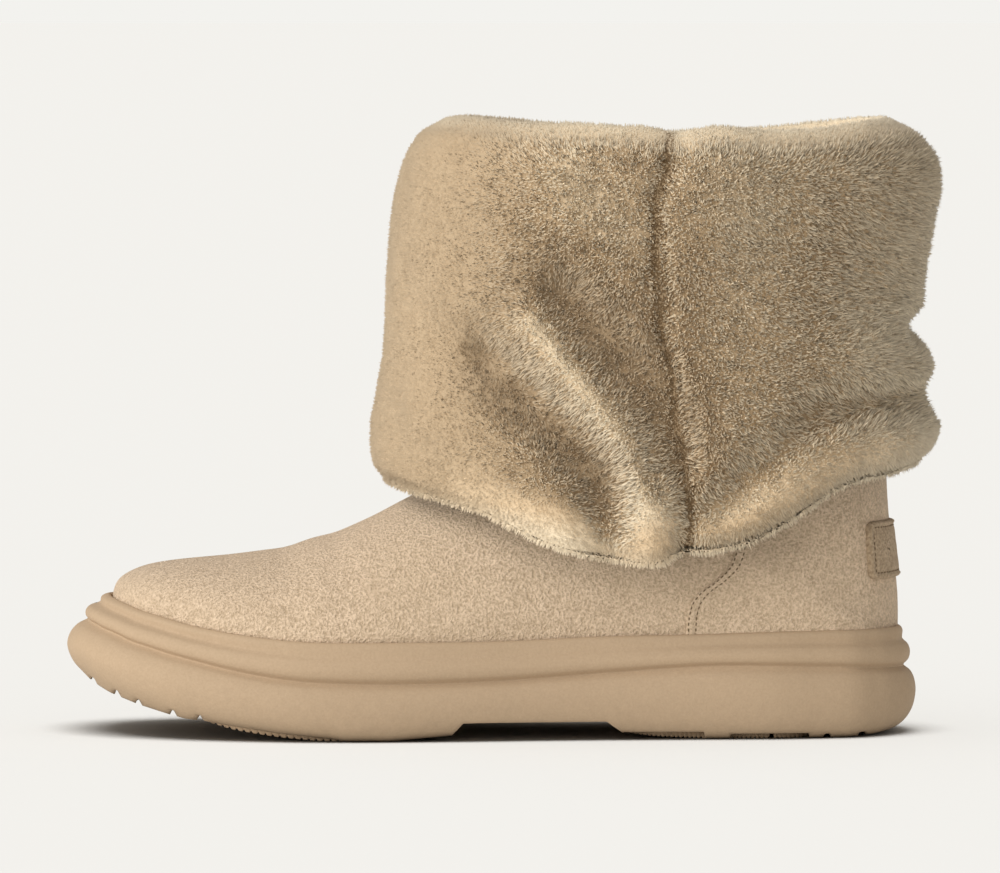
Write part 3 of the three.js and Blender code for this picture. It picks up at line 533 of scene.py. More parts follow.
def mesh_of(name, points, *face_sets, weld=False):
    """A mesh from points in millimetres and sets of triangles or quads."""
    mesh = bpy.data.meshes.new(name)
    points = (np.asarray(points, float).reshape(-1, 3) - ORIGIN) * MM
    sets = [np.asarray(f, int) for f in face_sets if len(f)]
    loops = np.concatenate([f.ravel() for f in sets])
    sizes = np.concatenate([np.full(len(f), f.shape[1]) for f in sets])
    mesh.vertices.add(len(points))
    mesh.vertices.foreach_set("co", points.astype(np.float32).ravel())
    mesh.loops.add(len(loops))
    mesh.loops.foreach_set("vertex_index", loops.astype(np.int32))
    mesh.polygons.add(len(sizes))
    mesh.polygons.foreach_set("loop_start", np.concatenate([[0], np.cumsum(sizes)[:-1]]).astype(np.int32))
    mesh.update(calc_edges=True)
    mesh.validate()
    if weld:
        made = bmesh.new()
        made.from_mesh(mesh)
        bmesh.ops.remove_doubles(made, verts=made.verts, dist=2e-6)
        bmesh.ops.dissolve_degenerate(made, edges=made.edges, dist=1e-7)
        bmesh.ops.recalc_face_normals(made, faces=made.faces)
        made.to_mesh(mesh)
        made.free()
    mesh.polygons.foreach_set("use_smooth", np.ones(len(mesh.polygons), bool))
    mesh.update()
    return mesh


def piece(mesh, material, slot, *nodes):
    """Puts a mesh in the scene as one piece of the boot."""
    obj = bpy.data.objects.new(mesh.name, mesh)
    bpy.context.scene.collection.objects.link(obj)
    obj.data.materials.append(material)
    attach(obj, "root")
    if nodes:
        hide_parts(*nodes)
    return obj


# ---- shader groups ----


def shader_group(name, inputs, outputs):
    """An empty node group. A triple makes a colour input, and the output named Color is a colour."""
    tree = bpy.data.node_groups.new(name, "ShaderNodeTree")
    for label, value in inputs:
        coloured = isinstance(value, tuple)
        kind = "NodeSocketColor" if coloured else "NodeSocketFloat"
        socket = tree.interface.new_socket(label, in_out="INPUT", socket_type=kind)
        socket.default_value = (*value, 1) if coloured else value
    for label in outputs:
        kind = "NodeSocketColor" if label == "Color" else "NodeSocketFloat"
        tree.interface.new_socket(label, in_out="OUTPUT", socket_type=kind)
    return tree, tree.nodes.new("NodeGroupInput").outputs, tree.nodes.new("NodeGroupOutput").inputs


def feed(tree, socket, value):
    """Gives a socket a number, a colour, or what another socket puts out."""
    if isinstance(value, bpy.types.NodeSocket):
        tree.links.new(value, socket)
    else:
        socket.default_value = (*value, 1) if isinstance(value, tuple) else value


def math_node(tree, operation, a, b, clamp=False):
    node = tree.nodes.new("ShaderNodeMath")
    node.operation = operation
    node.use_clamp = clamp
    feed(tree, node.inputs[0], a)
    feed(tree, node.inputs[1], b)
    return node.outputs[0]


def times(tree, a, b, clamp=False):
    return math_node(tree, "MULTIPLY", a, b, clamp)


def plus(tree, a, b, clamp=False):
    return math_node(tree, "ADD", a, b, clamp)


def minus(tree, a, b, clamp=False):
    return math_node(tree, "SUBTRACT", a, b, clamp)


def mix_node(tree, factor, first, second):
    """The first colour going over to the second as the factor rises."""
    node = tree.nodes.new("ShaderNodeMix")
    node.data_type = "RGBA"
    tree.links.new(factor, node.inputs["Factor"])
    colours = [socket for socket in node.inputs if socket.type == "RGBA"]
    feed(tree, colours[0], first)
    feed(tree, colours[1], second)
    return [socket for socket in node.outputs if socket.type == "RGBA"][0]


def contrasted(tree, value, contrast):
    """A noise value spread about its middle."""
    return plus(tree, times(tree, minus(tree, value, 0.5), contrast), 0.5, clamp=True)


def object_noise(tree, scale, detail=2.0, rough=0.5):
    """Noise laid out in the boot's own coordinates."""
    node = tree.nodes.new("ShaderNodeTexNoise")
    tree.links.new(tree.nodes.new("ShaderNodeTexCoord").outputs["Object"], node.inputs["Vector"])
    feed(tree, node.inputs["Scale"], scale)
    node.inputs["Detail"].default_value = detail
    node.inputs["Roughness"].default_value = rough
    return node.outputs["Fac"]


def build_grain():
    """Fine grain of a nap or a moulded skin: a tone to colour by, and a height for the bump."""
    inputs = (("Scale", 900.0), ("Contrast", 2.0), ("Depth", 1.0))
    tree, given, made = shader_group("surface_grain", inputs, ("Tone", "Height"))
    fine = object_noise(tree, given["Scale"], 3.0, 0.6)
    coarse = object_noise(tree, times(tree, given["Scale"], 0.31), 2.0, 0.5)
    both = plus(tree, times(tree, fine, 0.82), times(tree, coarse, 0.18))
    tree.links.new(contrasted(tree, both, given["Contrast"]), made["Tone"])
    tree.links.new(times(tree, both, given["Depth"]), made["Height"])
    return tree


def build_mottle():
    """Broad, soft patches, as where a nap has been brushed or a mould has cooled unevenly."""
    tree, given, made = shader_group("broad_mottle", (("Scale", 40.0), ("Contrast", 2.0)), ("Tone",))
    patches = object_noise(tree, given["Scale"], 3.0, 0.55)
    tree.links.new(contrasted(tree, patches, given["Contrast"]), made["Tone"])
    return tree


def build_rubbed():
    """A mask of raised edges that have been rubbed."""
    inputs = (("Start", 0.53), ("Gain", 12.0), ("Patches", 300.0))
    tree, given, made = shader_group("rubbed_edges", inputs, ("Mask",))
    bent = tree.nodes.new("ShaderNodeNewGeometry").outputs["Pointiness"]
    over = times(tree, minus(tree, bent, given["Start"]), given["Gain"])
    patches = object_noise(tree, given["Patches"], 2.0, 0.6)
    tree.links.new(times(tree, over, patches, clamp=True), made["Mask"])
    return tree


def build_near_floor():
    """A patchy mask that is strongest at the floor and thins out with height above it."""
    inputs = (("Top", 0.02), ("Amount", 0.3), ("Scale", 250.0))
    tree, given, made = shader_group("near_floor_patches", inputs, ("Mask",))
    apart = tree.nodes.new("ShaderNodeSeparateXYZ")
    tree.links.new(tree.nodes.new("ShaderNodeTexCoord").outputs["Object"], apart.inputs[0])
    share = math_node(tree, "DIVIDE", apart.outputs["Z"], given["Top"])
    low = minus(tree, 1.0, share, clamp=True)
    patches = object_noise(tree, given["Scale"], 4.0, 0.65)
    tree.links.new(times(tree, low, times(tree, patches, given["Amount"]), clamp=True), made["Mask"])
    return tree


def build_strand_colour():
    """Wool coloured by its strand attribute: from root to tip, darkened to the root's colour by the
    strand's own tone, and taken over to the shade colour by its painted shade. Speckle scales the tone."""
    inputs = (("Root", (0.0, 0.0, 0.0)), ("Middle", (0.5, 0.5, 0.5)), ("Tip", (1.0, 1.0, 1.0)),
              ("Shade", (0.3, 0.3, 0.3)), ("Speckle", 1.0))
    tree, given, made = shader_group("strand_colour", inputs, ("Color",))
    strand = tree.nodes.new("ShaderNodeAttribute")
    strand.attribute_name = "strand"
    apart = tree.nodes.new("ShaderNodeSeparateColor")
    tree.links.new(strand.outputs["Color"], apart.inputs[0])
    along, tone, painted_shade = apart.outputs
    twice = times(tree, along, 2.0)
    lower = mix_node(tree, times(tree, along, 2.0, clamp=True), given["Root"], given["Middle"])
    colour = mix_node(tree, minus(tree, twice, 1.0, clamp=True), lower, given["Tip"])
    colour = mix_node(tree, times(tree, tone, given["Speckle"], clamp=True), colour, given["Root"])
    # painted shade: the third channel takes the wool to the shade colour
    colour = mix_node(tree, times(tree, painted_shade, 0.8), colour, given["Shade"])
    tree.links.new(colour, made["Color"])
    return tree


GRAIN, MOTTLE, RUBBED, NEAR_FLOOR = build_grain(), build_mottle(), build_rubbed(), build_near_floor()
STRAND_COLOUR = build_strand_colour()


# ---- materials ----


class Finish:
    """A material under construction: one Principled shader and the colour that feeds it."""

    def __init__(self, name, roughness, specular=0.3, sheen=0.0):
        self.material = bpy.data.materials.new(name)
        self.material.use_nodes = True
        self.tree = self.material.node_tree
        self.shader = self.tree.nodes["Principled BSDF"]
        self.shader.inputs["Roughness"].default_value = roughness
        self.shader.inputs["Specular IOR Level"].default_value = specular
        self.shader.inputs["Sheen Weight"].default_value = sheen
        self.shader.inputs["Sheen Roughness"].default_value = 0.6

    def use(self, group, **values):
        """Places a shader group with these values and gives its outputs."""
        node = self.tree.nodes.new("ShaderNodeGroup")
        node.node_tree = group
        for label, value in values.items():
            feed(self.tree, node.inputs[label], value)
        return node.outputs

    def mix(self, factor, first, second):
        return mix_node(self.tree, factor, first, second)

    def over(self, base, mask, amount, colour):
        """The base going over to a colour by an amount of a mask."""
        return self.mix(times(self.tree, mask, amount), base, colour)

    def bump(self, height, strength, distance):
        node = self.tree.nodes.new("ShaderNodeBump")
        node.inputs["Strength"].default_value = strength
        node.inputs["Distance"].default_value = distance
        self.tree.links.new(height, node.inputs["Height"])
        self.tree.links.new(node.outputs["Normal"], self.shader.inputs["Normal"])

    def colour(self, socket):
        self.tree.links.new(socket, self.shader.inputs["Base Color"])
        return self.material


def suede_finish(name, dark, light, brushed, worn):
    made = Finish(name, 0.95, 0.12, 0.12)
    grain = made.use(GRAIN, Scale=1150.0, Contrast=4.0, Depth=1.0)
    mottle = made.use(MOTTLE, Scale=26.0, Contrast=2.4)
    edges = made.use(RUBBED, Start=0.54, Gain=9.0, Patches=700.0)
    near_floor_mask = made.use(NEAR_FLOOR, Top=0.05, Amount=0.25, Scale=600.0)
    base = made.mix(grain["Tone"], dark, light)
    base = made.over(base, mottle["Tone"], 0.35, brushed)
    base = made.over(base, edges["Mask"], 0.5, worn)
    # paler towards the floor
    base = made.mix(near_floor_mask["Mask"], base, worn)
    made.bump(grain["Height"], 1.0, 0.0013)
    return made.colour(base)


def foam_finish():
    made = Finish("moulded_foam", 0.78, 0.25)
    grain = made.use(GRAIN, Scale=1250.0, Contrast=1.6, Depth=1.0)
    mottle = made.use(MOTTLE, Scale=18.0, Contrast=1.6)
    edges = made.use(RUBBED, Start=0.54, Gain=7.0, Patches=500.0)
    near_floor_mask = made.use(NEAR_FLOOR, Top=0.026, Amount=1.1, Scale=300.0)
    base = made.mix(grain["Tone"], (0.40, 0.285, 0.18), (0.50, 0.365, 0.24))
    base = made.over(base, mottle["Tone"], 0.3, (0.42, 0.305, 0.195))
    base = made.over(base, edges["Mask"], 0.4, (0.58, 0.43, 0.29))
    # darker towards the floor
    base = made.over(base, near_floor_mask["Mask"], 0.5, (0.25, 0.185, 0.12))
    made.bump(grain["Height"], 0.35, 0.0004)
    return made.colour(base)


def rubber_finish():
    made = Finish("tread_rubber", 0.7, 0.3)
    grain = made.use(GRAIN, Scale=900.0, Contrast=2.0, Depth=1.0)
    near_floor_mask = made.use(NEAR_FLOOR, Top=0.006, Amount=1.4, Scale=350.0)
    edges = made.use(RUBBED, Start=0.52, Gain=9.0, Patches=450.0)
    base = made.mix(grain["Tone"], (0.44, 0.31, 0.19), (0.56, 0.405, 0.26))
    base = made.over(base, edges["Mask"], 0.5, (0.60, 0.42, 0.26))
    # darker towards the floor
    base = made.over(base, near_floor_mask["Mask"], 0.5, (0.30, 0.21, 0.13))
    made.bump(grain["Height"], 0.4, 0.0004)
    return made.colour(base)


def thread_finish():
    made = Finish("stitch_thread", 0.8, 0.2)
    grain = made.use(GRAIN, Scale=2600.0, Contrast=3.0, Depth=1.0)
    made.bump(grain["Height"], 0.8, 0.0003)
    return made.colour(made.mix(grain["Tone"], (0.10, 0.066, 0.034), (0.21, 0.145, 0.08)))


def wool_finish(name, matted=False):
    """The cuff's wool. Matted wool also has the fine grain of many tips side by side."""
    made = Finish(name, 0.9, 0.12, 0.3)
    made.shader.inputs["Sheen Tint"].default_value = (1.0, 0.86, 0.68, 1)
    values = dict(WOOL_COLOURS)
    if matted:
        grain = made.use(GRAIN, Scale=1500.0, Contrast=5.0, Depth=1.0)
        values["Speckle"] = plus(made.tree, times(made.tree, grain["Tone"], 1.3), 0.25)
        made.bump(grain["Height"], 0.9, 0.0007)
    strands = made.use(STRAND_COLOUR, **values)
    mottle = made.use(MOTTLE, Scale=90.0, Contrast=3.0)
    return made.colour(made.over(strands["Color"], mottle["Tone"], 0.12, WOOL_COLOURS["Shade"]))


def pile_finish(name, dark, light):
    """Short wool pile, for the lining and the insole's top."""
    made = Finish(name, 0.97, 0.1, 0.15)
    grain = made.use(GRAIN, Scale=620.0, Contrast=4.5, Depth=1.0)
    mottle = made.use(MOTTLE, Scale=70.0, Contrast=2.5)
    base = made.mix(grain["Tone"], dark, light)
    base = made.over(base, mottle["Tone"], 0.3, dark)
    made.bump(grain["Height"], 1.0, 0.0012)
    return made.colour(base)


# ---- the upper ----


def creased(points, out):
    """Points of the skin with the suede's creases and its slight slackness pressed into them."""
    depth = 0.18 * noise(points, 24) + 0.08 * noise(points, 9, 2)
    for deep, wide, path in CREASES:
        depth = depth - deep * bell(distance_to(path, points[..., 0], points[..., 2]), wide)
    hold = smoothstep(points[..., 2] - BED_Z(points[..., 0]), 3, 12)
    return points + out * (depth * hold)[..., None]


def shell(name, outside, inside, heel):
    """A skin with thickness, closed at its top edge and along its lower edge."""
    rows, cols = outside.shape[:2]
    points = np.concatenate([outside.reshape(-1, 3), inside.reshape(-1, 3)])
    second = rows * cols
    faces = [quads(rows, cols), quads(rows, cols, second, flip=True)]
    c = np.arange(cols - 1) + (rows - 1) * cols
    faces.append(np.stack([c, c + second, c + second + 1, c + 1], -1))
    r = np.arange(heel)
    for side, flip in ((0, False), (cols - 1, True)):
        a = r * cols + side
        rim = np.stack([a, a + second, a + cols + second, a + cols], -1)
        faces.append(rim[:, ::-1] if flip else rim)
    return mesh_of(name, points, *faces, weld=True)


def offset(distance):
    """The skin moved out by a distance, without dipping along its lower edge."""
    moved = LAST + LAST_OUT * distance
    edge = np.minimum(np.arange(LAST.shape[1]), LAST.shape[1] - 1 - np.arange(LAST.shape[1]))
    near = edge <= 9
    moved[:, near, 2] = np.maximum(moved[:, near, 2], LAST[:, near, 2])
    return moved


def build_upper(suede, pile):
    body = shell("vamp", creased(LAST, LAST_OUT), offset(-SUEDE), HEEL_ROW)
    piece(body, suede, "suede", "upper")
    inner = offset(-WALL + 0.6)
    inner = inner - LAST_OUT * (0.5 * noise(inner, 5)[..., None])
    lining = shell("wool_lining", offset(-SUEDE - 0.3), inner, HEEL_ROW)
    piece(lining, pile, "fleece")


def quarter_angle(side, z):
    """The direction, seen from the quarter's axis, of its front edge at a height."""
    x = float(QUARTER_EDGE.read("z", "x", z))
    where, _ = hit_skin((x, side * 90, z), (0, -side, 0))
    return math.atan2(where[1], where[0] - QUARTER_AXIS)


def skin_round(angle, z):
    """The skin's point and normal in a direction from the quarter's axis at a height."""
    way = (math.cos(angle), math.sin(angle), 0.0)
    start = (QUARTER_AXIS + way[0] * 110, way[1] * 110, z)
    return hit_skin(start, (-way[0], -way[1], 0.0))


def quarter_rows(z):
    """Points of the skin at one height from the outer front edge round the heel to the inner one."""
    first, last = quarter_angle(1, z), quarter_angle(-1, z) % (2 * math.pi)
    steps = np.linspace(0, 1, 121)
    hits = [skin_round(first + (last - first) * t, z) for t in steps]
    at = np.array([h[0] for h in hits])
    out = np.array([h[1] for h in hits])
    return at, out


def proud(distance, high, edge=0.9):
    """How far a layer stands out at a distance from its rounded edge."""
    t = np.clip(distance / edge, 0, 1)
    return high * np.sqrt(np.maximum(0, 1 - (1 - t) ** 2))


EDGE_STEPS = np.array([0.0, 0.05, 0.14, 0.3, 0.5, 0.75, 1.1, 1.6, 2.3, 3.2, 4.4])


def resampled(at, out, near_ends):
    """A row of points spaced evenly, with extra points at set distances from each of its ends."""
    run = lengths_along(at)
    middle = np.linspace(near_ends[-1], run[-1] - near_ends[-1], QUARTER_STEPS)[1:-1]
    want = np.concatenate([near_ends, middle, run[-1] - near_ends[::-1]])
    return read_along(run, at, want), unit(read_along(run, out, want)), np.minimum(want, run[-1] - want)


def build_quarter(suede):
    """The quarter's raised panel, and the places of its two rows of stitches on each side."""
    heights = np.concatenate([np.arange(33, 70, 0.8), np.arange(70, 106, 3.0)])
    rows = [resampled(*quarter_rows(z), EDGE_STEPS) for z in heights]
    at, out, inward = (np.array(part) for part in zip(*rows))
    outer = creased(at, out) + out * (proud(inward, QUARTER_PROUD) - 0.12)[..., None]
    swell = 0.35 * bell(inward - 1.6, 1.0) * smoothstep(52 - at[..., 2], 0, 8)
    dimple = 0.22 * (bell(inward - STITCH_INSETS[0], 0.4) + bell(inward - STITCH_INSETS[1], 0.5))
    outer += out * (swell - dimple)[..., None]
    piece(mesh_of("quarter", outer, quads(*outer.shape[:2])), suede, "suede")
    keep = heights < STITCHED_TO
    stitched = []
    for outer_side in (True, False):
        for inset in STITCH_INSETS:
            step = int(np.argmin(np.abs(EDGE_STEPS - inset)))
            column = step if outer_side else outer.shape[1] - 1 - step
            stitched.append((outer[keep, column], out[keep, column]))
    return stitched


# A stitch's rings: how far along it, how thick as a share of its radius, and how far out of the skin.
STITCH_RINGS = (
    (0.0, 0.35, -0.25), (0.12, 0.85, -0.05), (0.35, 1.0, 0.1),
    (0.65, 1.0, 0.1), (0.88, 0.85, -0.05), (1.0, 0.35, -0.25),
)


def stitch_mesh(path, out):
    """Short thread dashes along a path, each sunk at its ends."""
    run = lengths_along(path)
    starts = np.arange(STITCH["pitch"] / 2, run[-1] - STITCH["long"], STITCH["pitch"])
    sides = STITCH["sides"]
    around = np.arange(sides) * 2 * math.pi / sides
    points, faces = [], []
    for start in starts:
        base = len(points)
        start = start + rng.uniform(-0.06, 0.06)
        long = STITCH["long"] * rng.uniform(0.92, 1.06)
        way = unit(read_along(run, path, start + long) - read_along(run, path, start))
        for share, thick, lift in STITCH_RINGS:
            centre = read_along(run, path, start + long * share)
            up = unit(read_along(run, out, start + long * share))
            side = unit(np.cross(way, up))
            for a in around:
                spoke = side * math.cos(a) + up * (math.sin(a) * 0.8)
                points.append(centre + spoke * thick * STITCH["radius"] + up * lift * 0.5)
        for r, c in np.ndindex(len(STITCH_RINGS) - 1, sides):
            a, b = base + r * sides + c, base + r * sides + (c + 1) % sides
            faces.append((a, b, b + sides, a + sides))
    return points, faces


def build_stitches(name, thread, slot, rows):
    points, faces = [], []
    for path, out in rows:
        more, links = stitch_mesh(path, out)
        faces.extend(tuple(v + len(points) for v in f) for f in links)
        points.extend(more)
    piece(mesh_of(name, points, faces), thread, slot)


def label_place(u, v):
    """A point of the label's ground, across and up it, on the quarter at the back of the heel."""
    where, out = hit_skin((-60, u, v), (1, 0, 0))
    return where + out * (QUARTER_PROUD - 0.1), out


LABEL_INSETS = (0, 0.05, 0.15, 0.35, 0.6, 0.9, 1.3, 1.8, 2.2, 2.6, 3.4, 4.8, 6.4, 8.2, 9.6)
LABEL_POINTS, BORDER_POINTS = 96, 140


def label_outline(inset, count=LABEL_POINTS):
    """The label's rounded outline drawn in by an inset, across and up from its middle."""
    w, h = LABEL["width"] / 2 - inset, (LABEL["high"] - LABEL["low"]) / 2 - inset
    c = max(0.6, LABEL["corner"] - inset)
    loop = []
    for k, (sx, sz) in enumerate(((1, 1), (-1, 1), (-1, -1), (1, -1))):
        for a in np.linspace(0, math.pi / 2, 7):
            turn = a + k * math.pi / 2
            loop.append((sx * (w - c) + c * math.cos(turn), sz * (h - c) + c * math.sin(turn)))
    loop = np.array(loop + loop[:1])
    run = lengths_along(loop)
    return read_along(run, loop, np.linspace(0, run[-1], count + 1)[:-1])


def label_height(inset):
    """How far the label stands out at an inset: round at its rim, pressed in along its stitches."""
    height = float(proud(np.array(inset), LABEL["thick"], 0.8)) - 0.1
    return height + 0.25 * bell(inset - 1.1, 0.5) - 0.3 * bell(inset - LABEL["border"], 0.45)


def build_label(suede, thread):
    middle = (LABEL["low"] + LABEL["high"]) / 2
    points = []
    for inset in LABEL_INSETS:
        for u, v in label_outline(inset):
            where, out = label_place(u, middle + v)
            points.append(where + out * label_height(inset))
    rings, count = len(LABEL_INSETS), LABEL_POINTS
    start = np.arange(rings - 1) * count
    seam = np.stack([start + count - 1, start + 2 * count - 1, start + count, start], -1)
    first, k = (rings - 1) * count, np.arange(count // 2 - 1)
    cap = first + np.stack([k, k + 1, count - 2 - k, count - 1 - k], -1)
    mesh = mesh_of("heel_label_patch", points, quads(rings, count), seam, cap, weld=True)
    piece(mesh, suede, "label_suede", "heel_label")
    places = [label_place(u, middle + v) for u, v in label_outline(LABEL["border"], BORDER_POINTS)]
    path = np.array([p + n * (LABEL["thick"] - 0.35) for p, n in places])
    out = np.array([n for _, n in places])
    build_stitches("label_stitches", thread, "label_suede", [(path, out)])


# ---- the sole ----


def cut_edges():
    """The places along the boot where a cut in the underside begins or ends."""
    edges = [ARCH["back"], ARCH["front"]]
    for back, front, _ in HEEL_RECESSES:
        edges += [back, front]
    return edges


def rows_at_cuts(at):
    """Where a closed loop of points needs rows: at its own points and on both sides of each cut."""
    ahead = np.roll(at, -1, 0)[:, 0]
    extra = []
    for x in cut_edges():
        for place in (x - CUT_GAP, x + CUT_GAP):
            for k in np.nonzero((at[:, 0] - place) * (ahead - place) < 0)[0]:
                extra.append(k + (place - at[k, 0]) / (ahead[k] - at[k, 0]))
    return np.sort(np.concatenate([np.arange(len(at)), extra]))


def lower_edge():
    """The upper's lower edge, closed, spaced evenly and with rows where the tread's cuts begin."""
    loop = np.concatenate([LAST[: HEEL_ROW + 1, 0, :2], LAST[1:HEEL_ROW, -1, :2][::-1]])
    loop = np.concatenate([loop, loop[:1]])
    run = lengths_along(loop)
    keep = np.concatenate([[True], np.diff(run) > 1e-6])
    loop, run = loop[keep], run[keep]
    at = read_along(run, loop, np.linspace(0, run[-1], EDGE_POINTS + 1)[:-1])
    for _ in range(4):
        at = (np.roll(at, 1, 0) + 2 * at + np.roll(at, -1, 0)) / 4
    where = rows_at_cuts(at)
    closed = np.concatenate([at, at[:1]])
    i = np.floor(where).astype(int)
    t = (where - i)[:, None]
    at = closed[i] * (1 - t) + closed[i + 1] * t
    smooth = np.roll(closed[:-1], -2, 0) - np.roll(closed[:-1], 2, 0)
    smooth = np.concatenate([smooth, smooth[:1]])
    way = unit(smooth[i] * (1 - t) + smooth[i + 1] * t)
    away = np.stack([way[:, 1], -way[:, 0]], -1)
    if np.sum((at - MIDDLE_OF_SOLE) * away) < 0:
        away = -away
    return at, away


def cut_height(x):
    """How high the underside has been cut away at a place along the boot."""
    high = np.zeros_like(x)
    for grooves in (TOE_GROOVES, HEEL_GROOVES):
        for at in grooves["at"]:
            off = np.abs(x - at) / grooves["wide"]
            high = np.maximum(high, (FOAM_Z(x) + grooves["deep"]) * (off < 0.42))
    for back, front, top in HEEL_RECESSES:
        high = np.maximum(high, top * ((x > back) & (x < front)))
    behind = (x - ARCH["back"]) / (ARCH["backTop"] - ARCH["back"])
    before = (ARCH["front"] - x) / (ARCH["front"] - ARCH["frontTop"])
    arch = ARCH["low"] + (ARCH["high"] - ARCH["low"]) * np.clip(np.minimum(behind, before), 0, 1)
    return np.maximum(high, np.where((x > ARCH["back"]) & (x < ARCH["front"]), arch, 0))


def build_sole(foam):
    at, away = lower_edge()
    count = len(at)
    toe = smoothstep(at[:, 0], TOE_FROM, LIP_X) * np.maximum(0, away[:, 0]) ** 0.7
    soft = STEP.read("x", "soft", at[:, 0]) * (1 - toe)
    rows = []
    for side, flare, lower, share in SIDE_WALL.rows:
        if lower == 0 and 0.1 < share < 0.6:
            side = side + (np.interp(share, (0.12, 0.48), (2.5, 4.3)) - side) * 0.8 * soft
        out = side + (flare - side) * toe
        x = at[:, 0] + away[:, 0] * out
        lip = BED_Z(at[:, 0]) + TUCK
        groove = GROOVE_Z(at[:, 0])
        z = groove + (FOAM_Z(x) - groove) * share if lower else lip + (groove - lip) * share
        rows.append(np.stack([x, at[:, 1] + away[:, 1] * out, z], -1))
    rows = refine(np.array(rows), 4)
    lip_low = rows[0].copy()
    lip_low[:, 2] -= TUCK + LIP_SUNK
    rows = np.concatenate([lip_low[None], rows])
    under = rows[-1].copy()
    under[:, :2] -= away * 0.6
    under[:, 2] += 0.9
    rows = np.concatenate([rows, under[None]])
    half = len(rows) // 2
    rows[half:, :, 2] = np.maximum(rows[half:, :, 2], cut_height(rows[half:, :, 0]))
    points = rows.swapaxes(0, 1).reshape(-1, 3)
    deep = len(rows)
    faces = [quads(count, deep, wrap=True), closing(count, deep, 0), closing(count, deep, deep - 1)]
    mesh = mesh_of("foam_sole", points, *faces, weld=True)
    piece(mesh, foam, "foam", "midsole")


def pad_half(pad, x, side):
    """Half the width of a pad at a place along the boot."""
    edge = LAST[: HEEL_ROW + 1, 0 if side > 0 else -1]
    order = np.argsort(edge[:, 0])
    y = np.abs(np.interp(x, edge[order, 0], edge[order, 1]))
    end = np.clip(np.minimum(x - pad["back"], pad["front"] - x), 0, PAD_CORNER)
    nip = PAD_CORNER - np.sqrt(np.maximum(0, PAD_CORNER**2 - (PAD_CORNER - end) ** 2))
    return side * (y - PAD_INSET - nip)


def build_pad(name, rubber):
    """A tread pad whose underside is ribbed across, with a fine rib for each pitch."""
    pad = PADS[name]
    x = np.linspace(pad["back"], pad["front"], int((pad["front"] - pad["back"]) / 0.3))
    wave = np.abs(((x - pad["back"]) / pad["rib"]) % 1 - 0.5) * 2
    rib = pad["deep"] * smoothstep(wave, 0.62, 0.8)
    for gap in pad["gaps"]:
        rib = np.where(np.abs(x - gap) < 0.7, 2.2, rib)
    left, right = pad_half(pad, x, 1), pad_half(pad, x, -1)
    middle, half = (left + right) / 2, (left - right) / 2
    low = TREAD_Z(x)
    rings = [np.stack([x, middle + half, low + PAD_THICK], -1)]
    for share in PAD_ACROSS:
        raised = 0.25 if abs(share) == 1 else 0.0  # the rounded edge
        rings.append(np.stack([x, middle + half * share, low + rib + raised], -1))
    rings.append(np.stack([x, middle - half, low + PAD_THICK], -1))
    grid = np.array(rings).swapaxes(0, 1)
    loop = np.concatenate([grid, grid[:, :1]], 1)
    count, cols = loop.shape[:2]
    ends = [list(range(cols - 1)), [(count - 1) * cols + k for k in range(cols - 1)][::-1]]
    caps = [[e[k], e[k + 1], e[-2 - k], e[-1 - k]] for e in ends for k in range(len(e) // 2 - 1)]
    mesh = mesh_of(name + "_ribbed", loop, quads(count, cols), caps, weld=True)
    piece(mesh, rubber, "pad_rubber", name)


INSOLE_RINGS = ((0, 0), (0.2, 0.5), (0.9, 0.85), (2.2, 1.0), (8, 1.02), (16, 1.0))  # inset, share of height


def build_insole(pile):
    at, away = lower_edge()
    toe = smoothstep(at[:, 0], TOE_FROM, LIP_X)
    thick = 6 - 3 * toe
    rings = []
    for inset, share in INSOLE_RINGS:
        level = at - away * (WALL + 1.2 + inset + 5 * toe)[:, None]
        for _ in range(6):
            level = (np.roll(level, 1, 0) + 2 * level + np.roll(level, -1, 0)) / 4
        rings.append(np.column_stack([level, BED_Z(at[:, 0]) + thick * share]))
    rings = np.array(rings)
    rings[3:, :, 2] += 0.35 * noise(rings[3:], 4)
    count, deep = len(at), len(rings)
    faces = [quads(count, deep, wrap=True), closing(count, deep, 0), closing(count, deep, deep - 1)]
    mesh = mesh_of("fleece_insole", rings.swapaxes(0, 1), *faces, weld=True)
    piece(mesh, pile, "fleece", "insole")


# ---- the cuff ----

CUFF_TURNS = 200
SEAM_TURNS = ((86.0, 97.0), (261.0, 273.0))  # where the cuff is divided more finely
SEAM_STEP = 0.32
INSIDE_SHARES = (0.34, 0.24, 0.15, 0.07)
OUTSIDE_SHARES = (
    0, 0.02, 0.045, 0.08, 0.12, 0.17, 0.22, 0.28, 0.34, 0.4, 0.46,
    0.53, 0.6, 0.67, 0.74, 0.8, 0.86, 0.9, 0.93, 0.96, 0.98, 1.0,
)
ROWS_BETWEEN = 4  # rows of the finished envelope for each of these shares


def folded(turn, z):
    """How far the folds draw the cuff in at a turn and a height."""
    turn, z = np.broadcast_arrays(turn, z)
    depth = np.zeros(turn.shape)
    for _, deep, wide, path in FOLDS:
        depth += deep * bell(distance_to(path, turn, z, TURN_MM), wide)
    for _, high, wide, path in RIDGES:
        depth -= high * bell(distance_to(path, turn, z, TURN_MM), wide)
    return depth


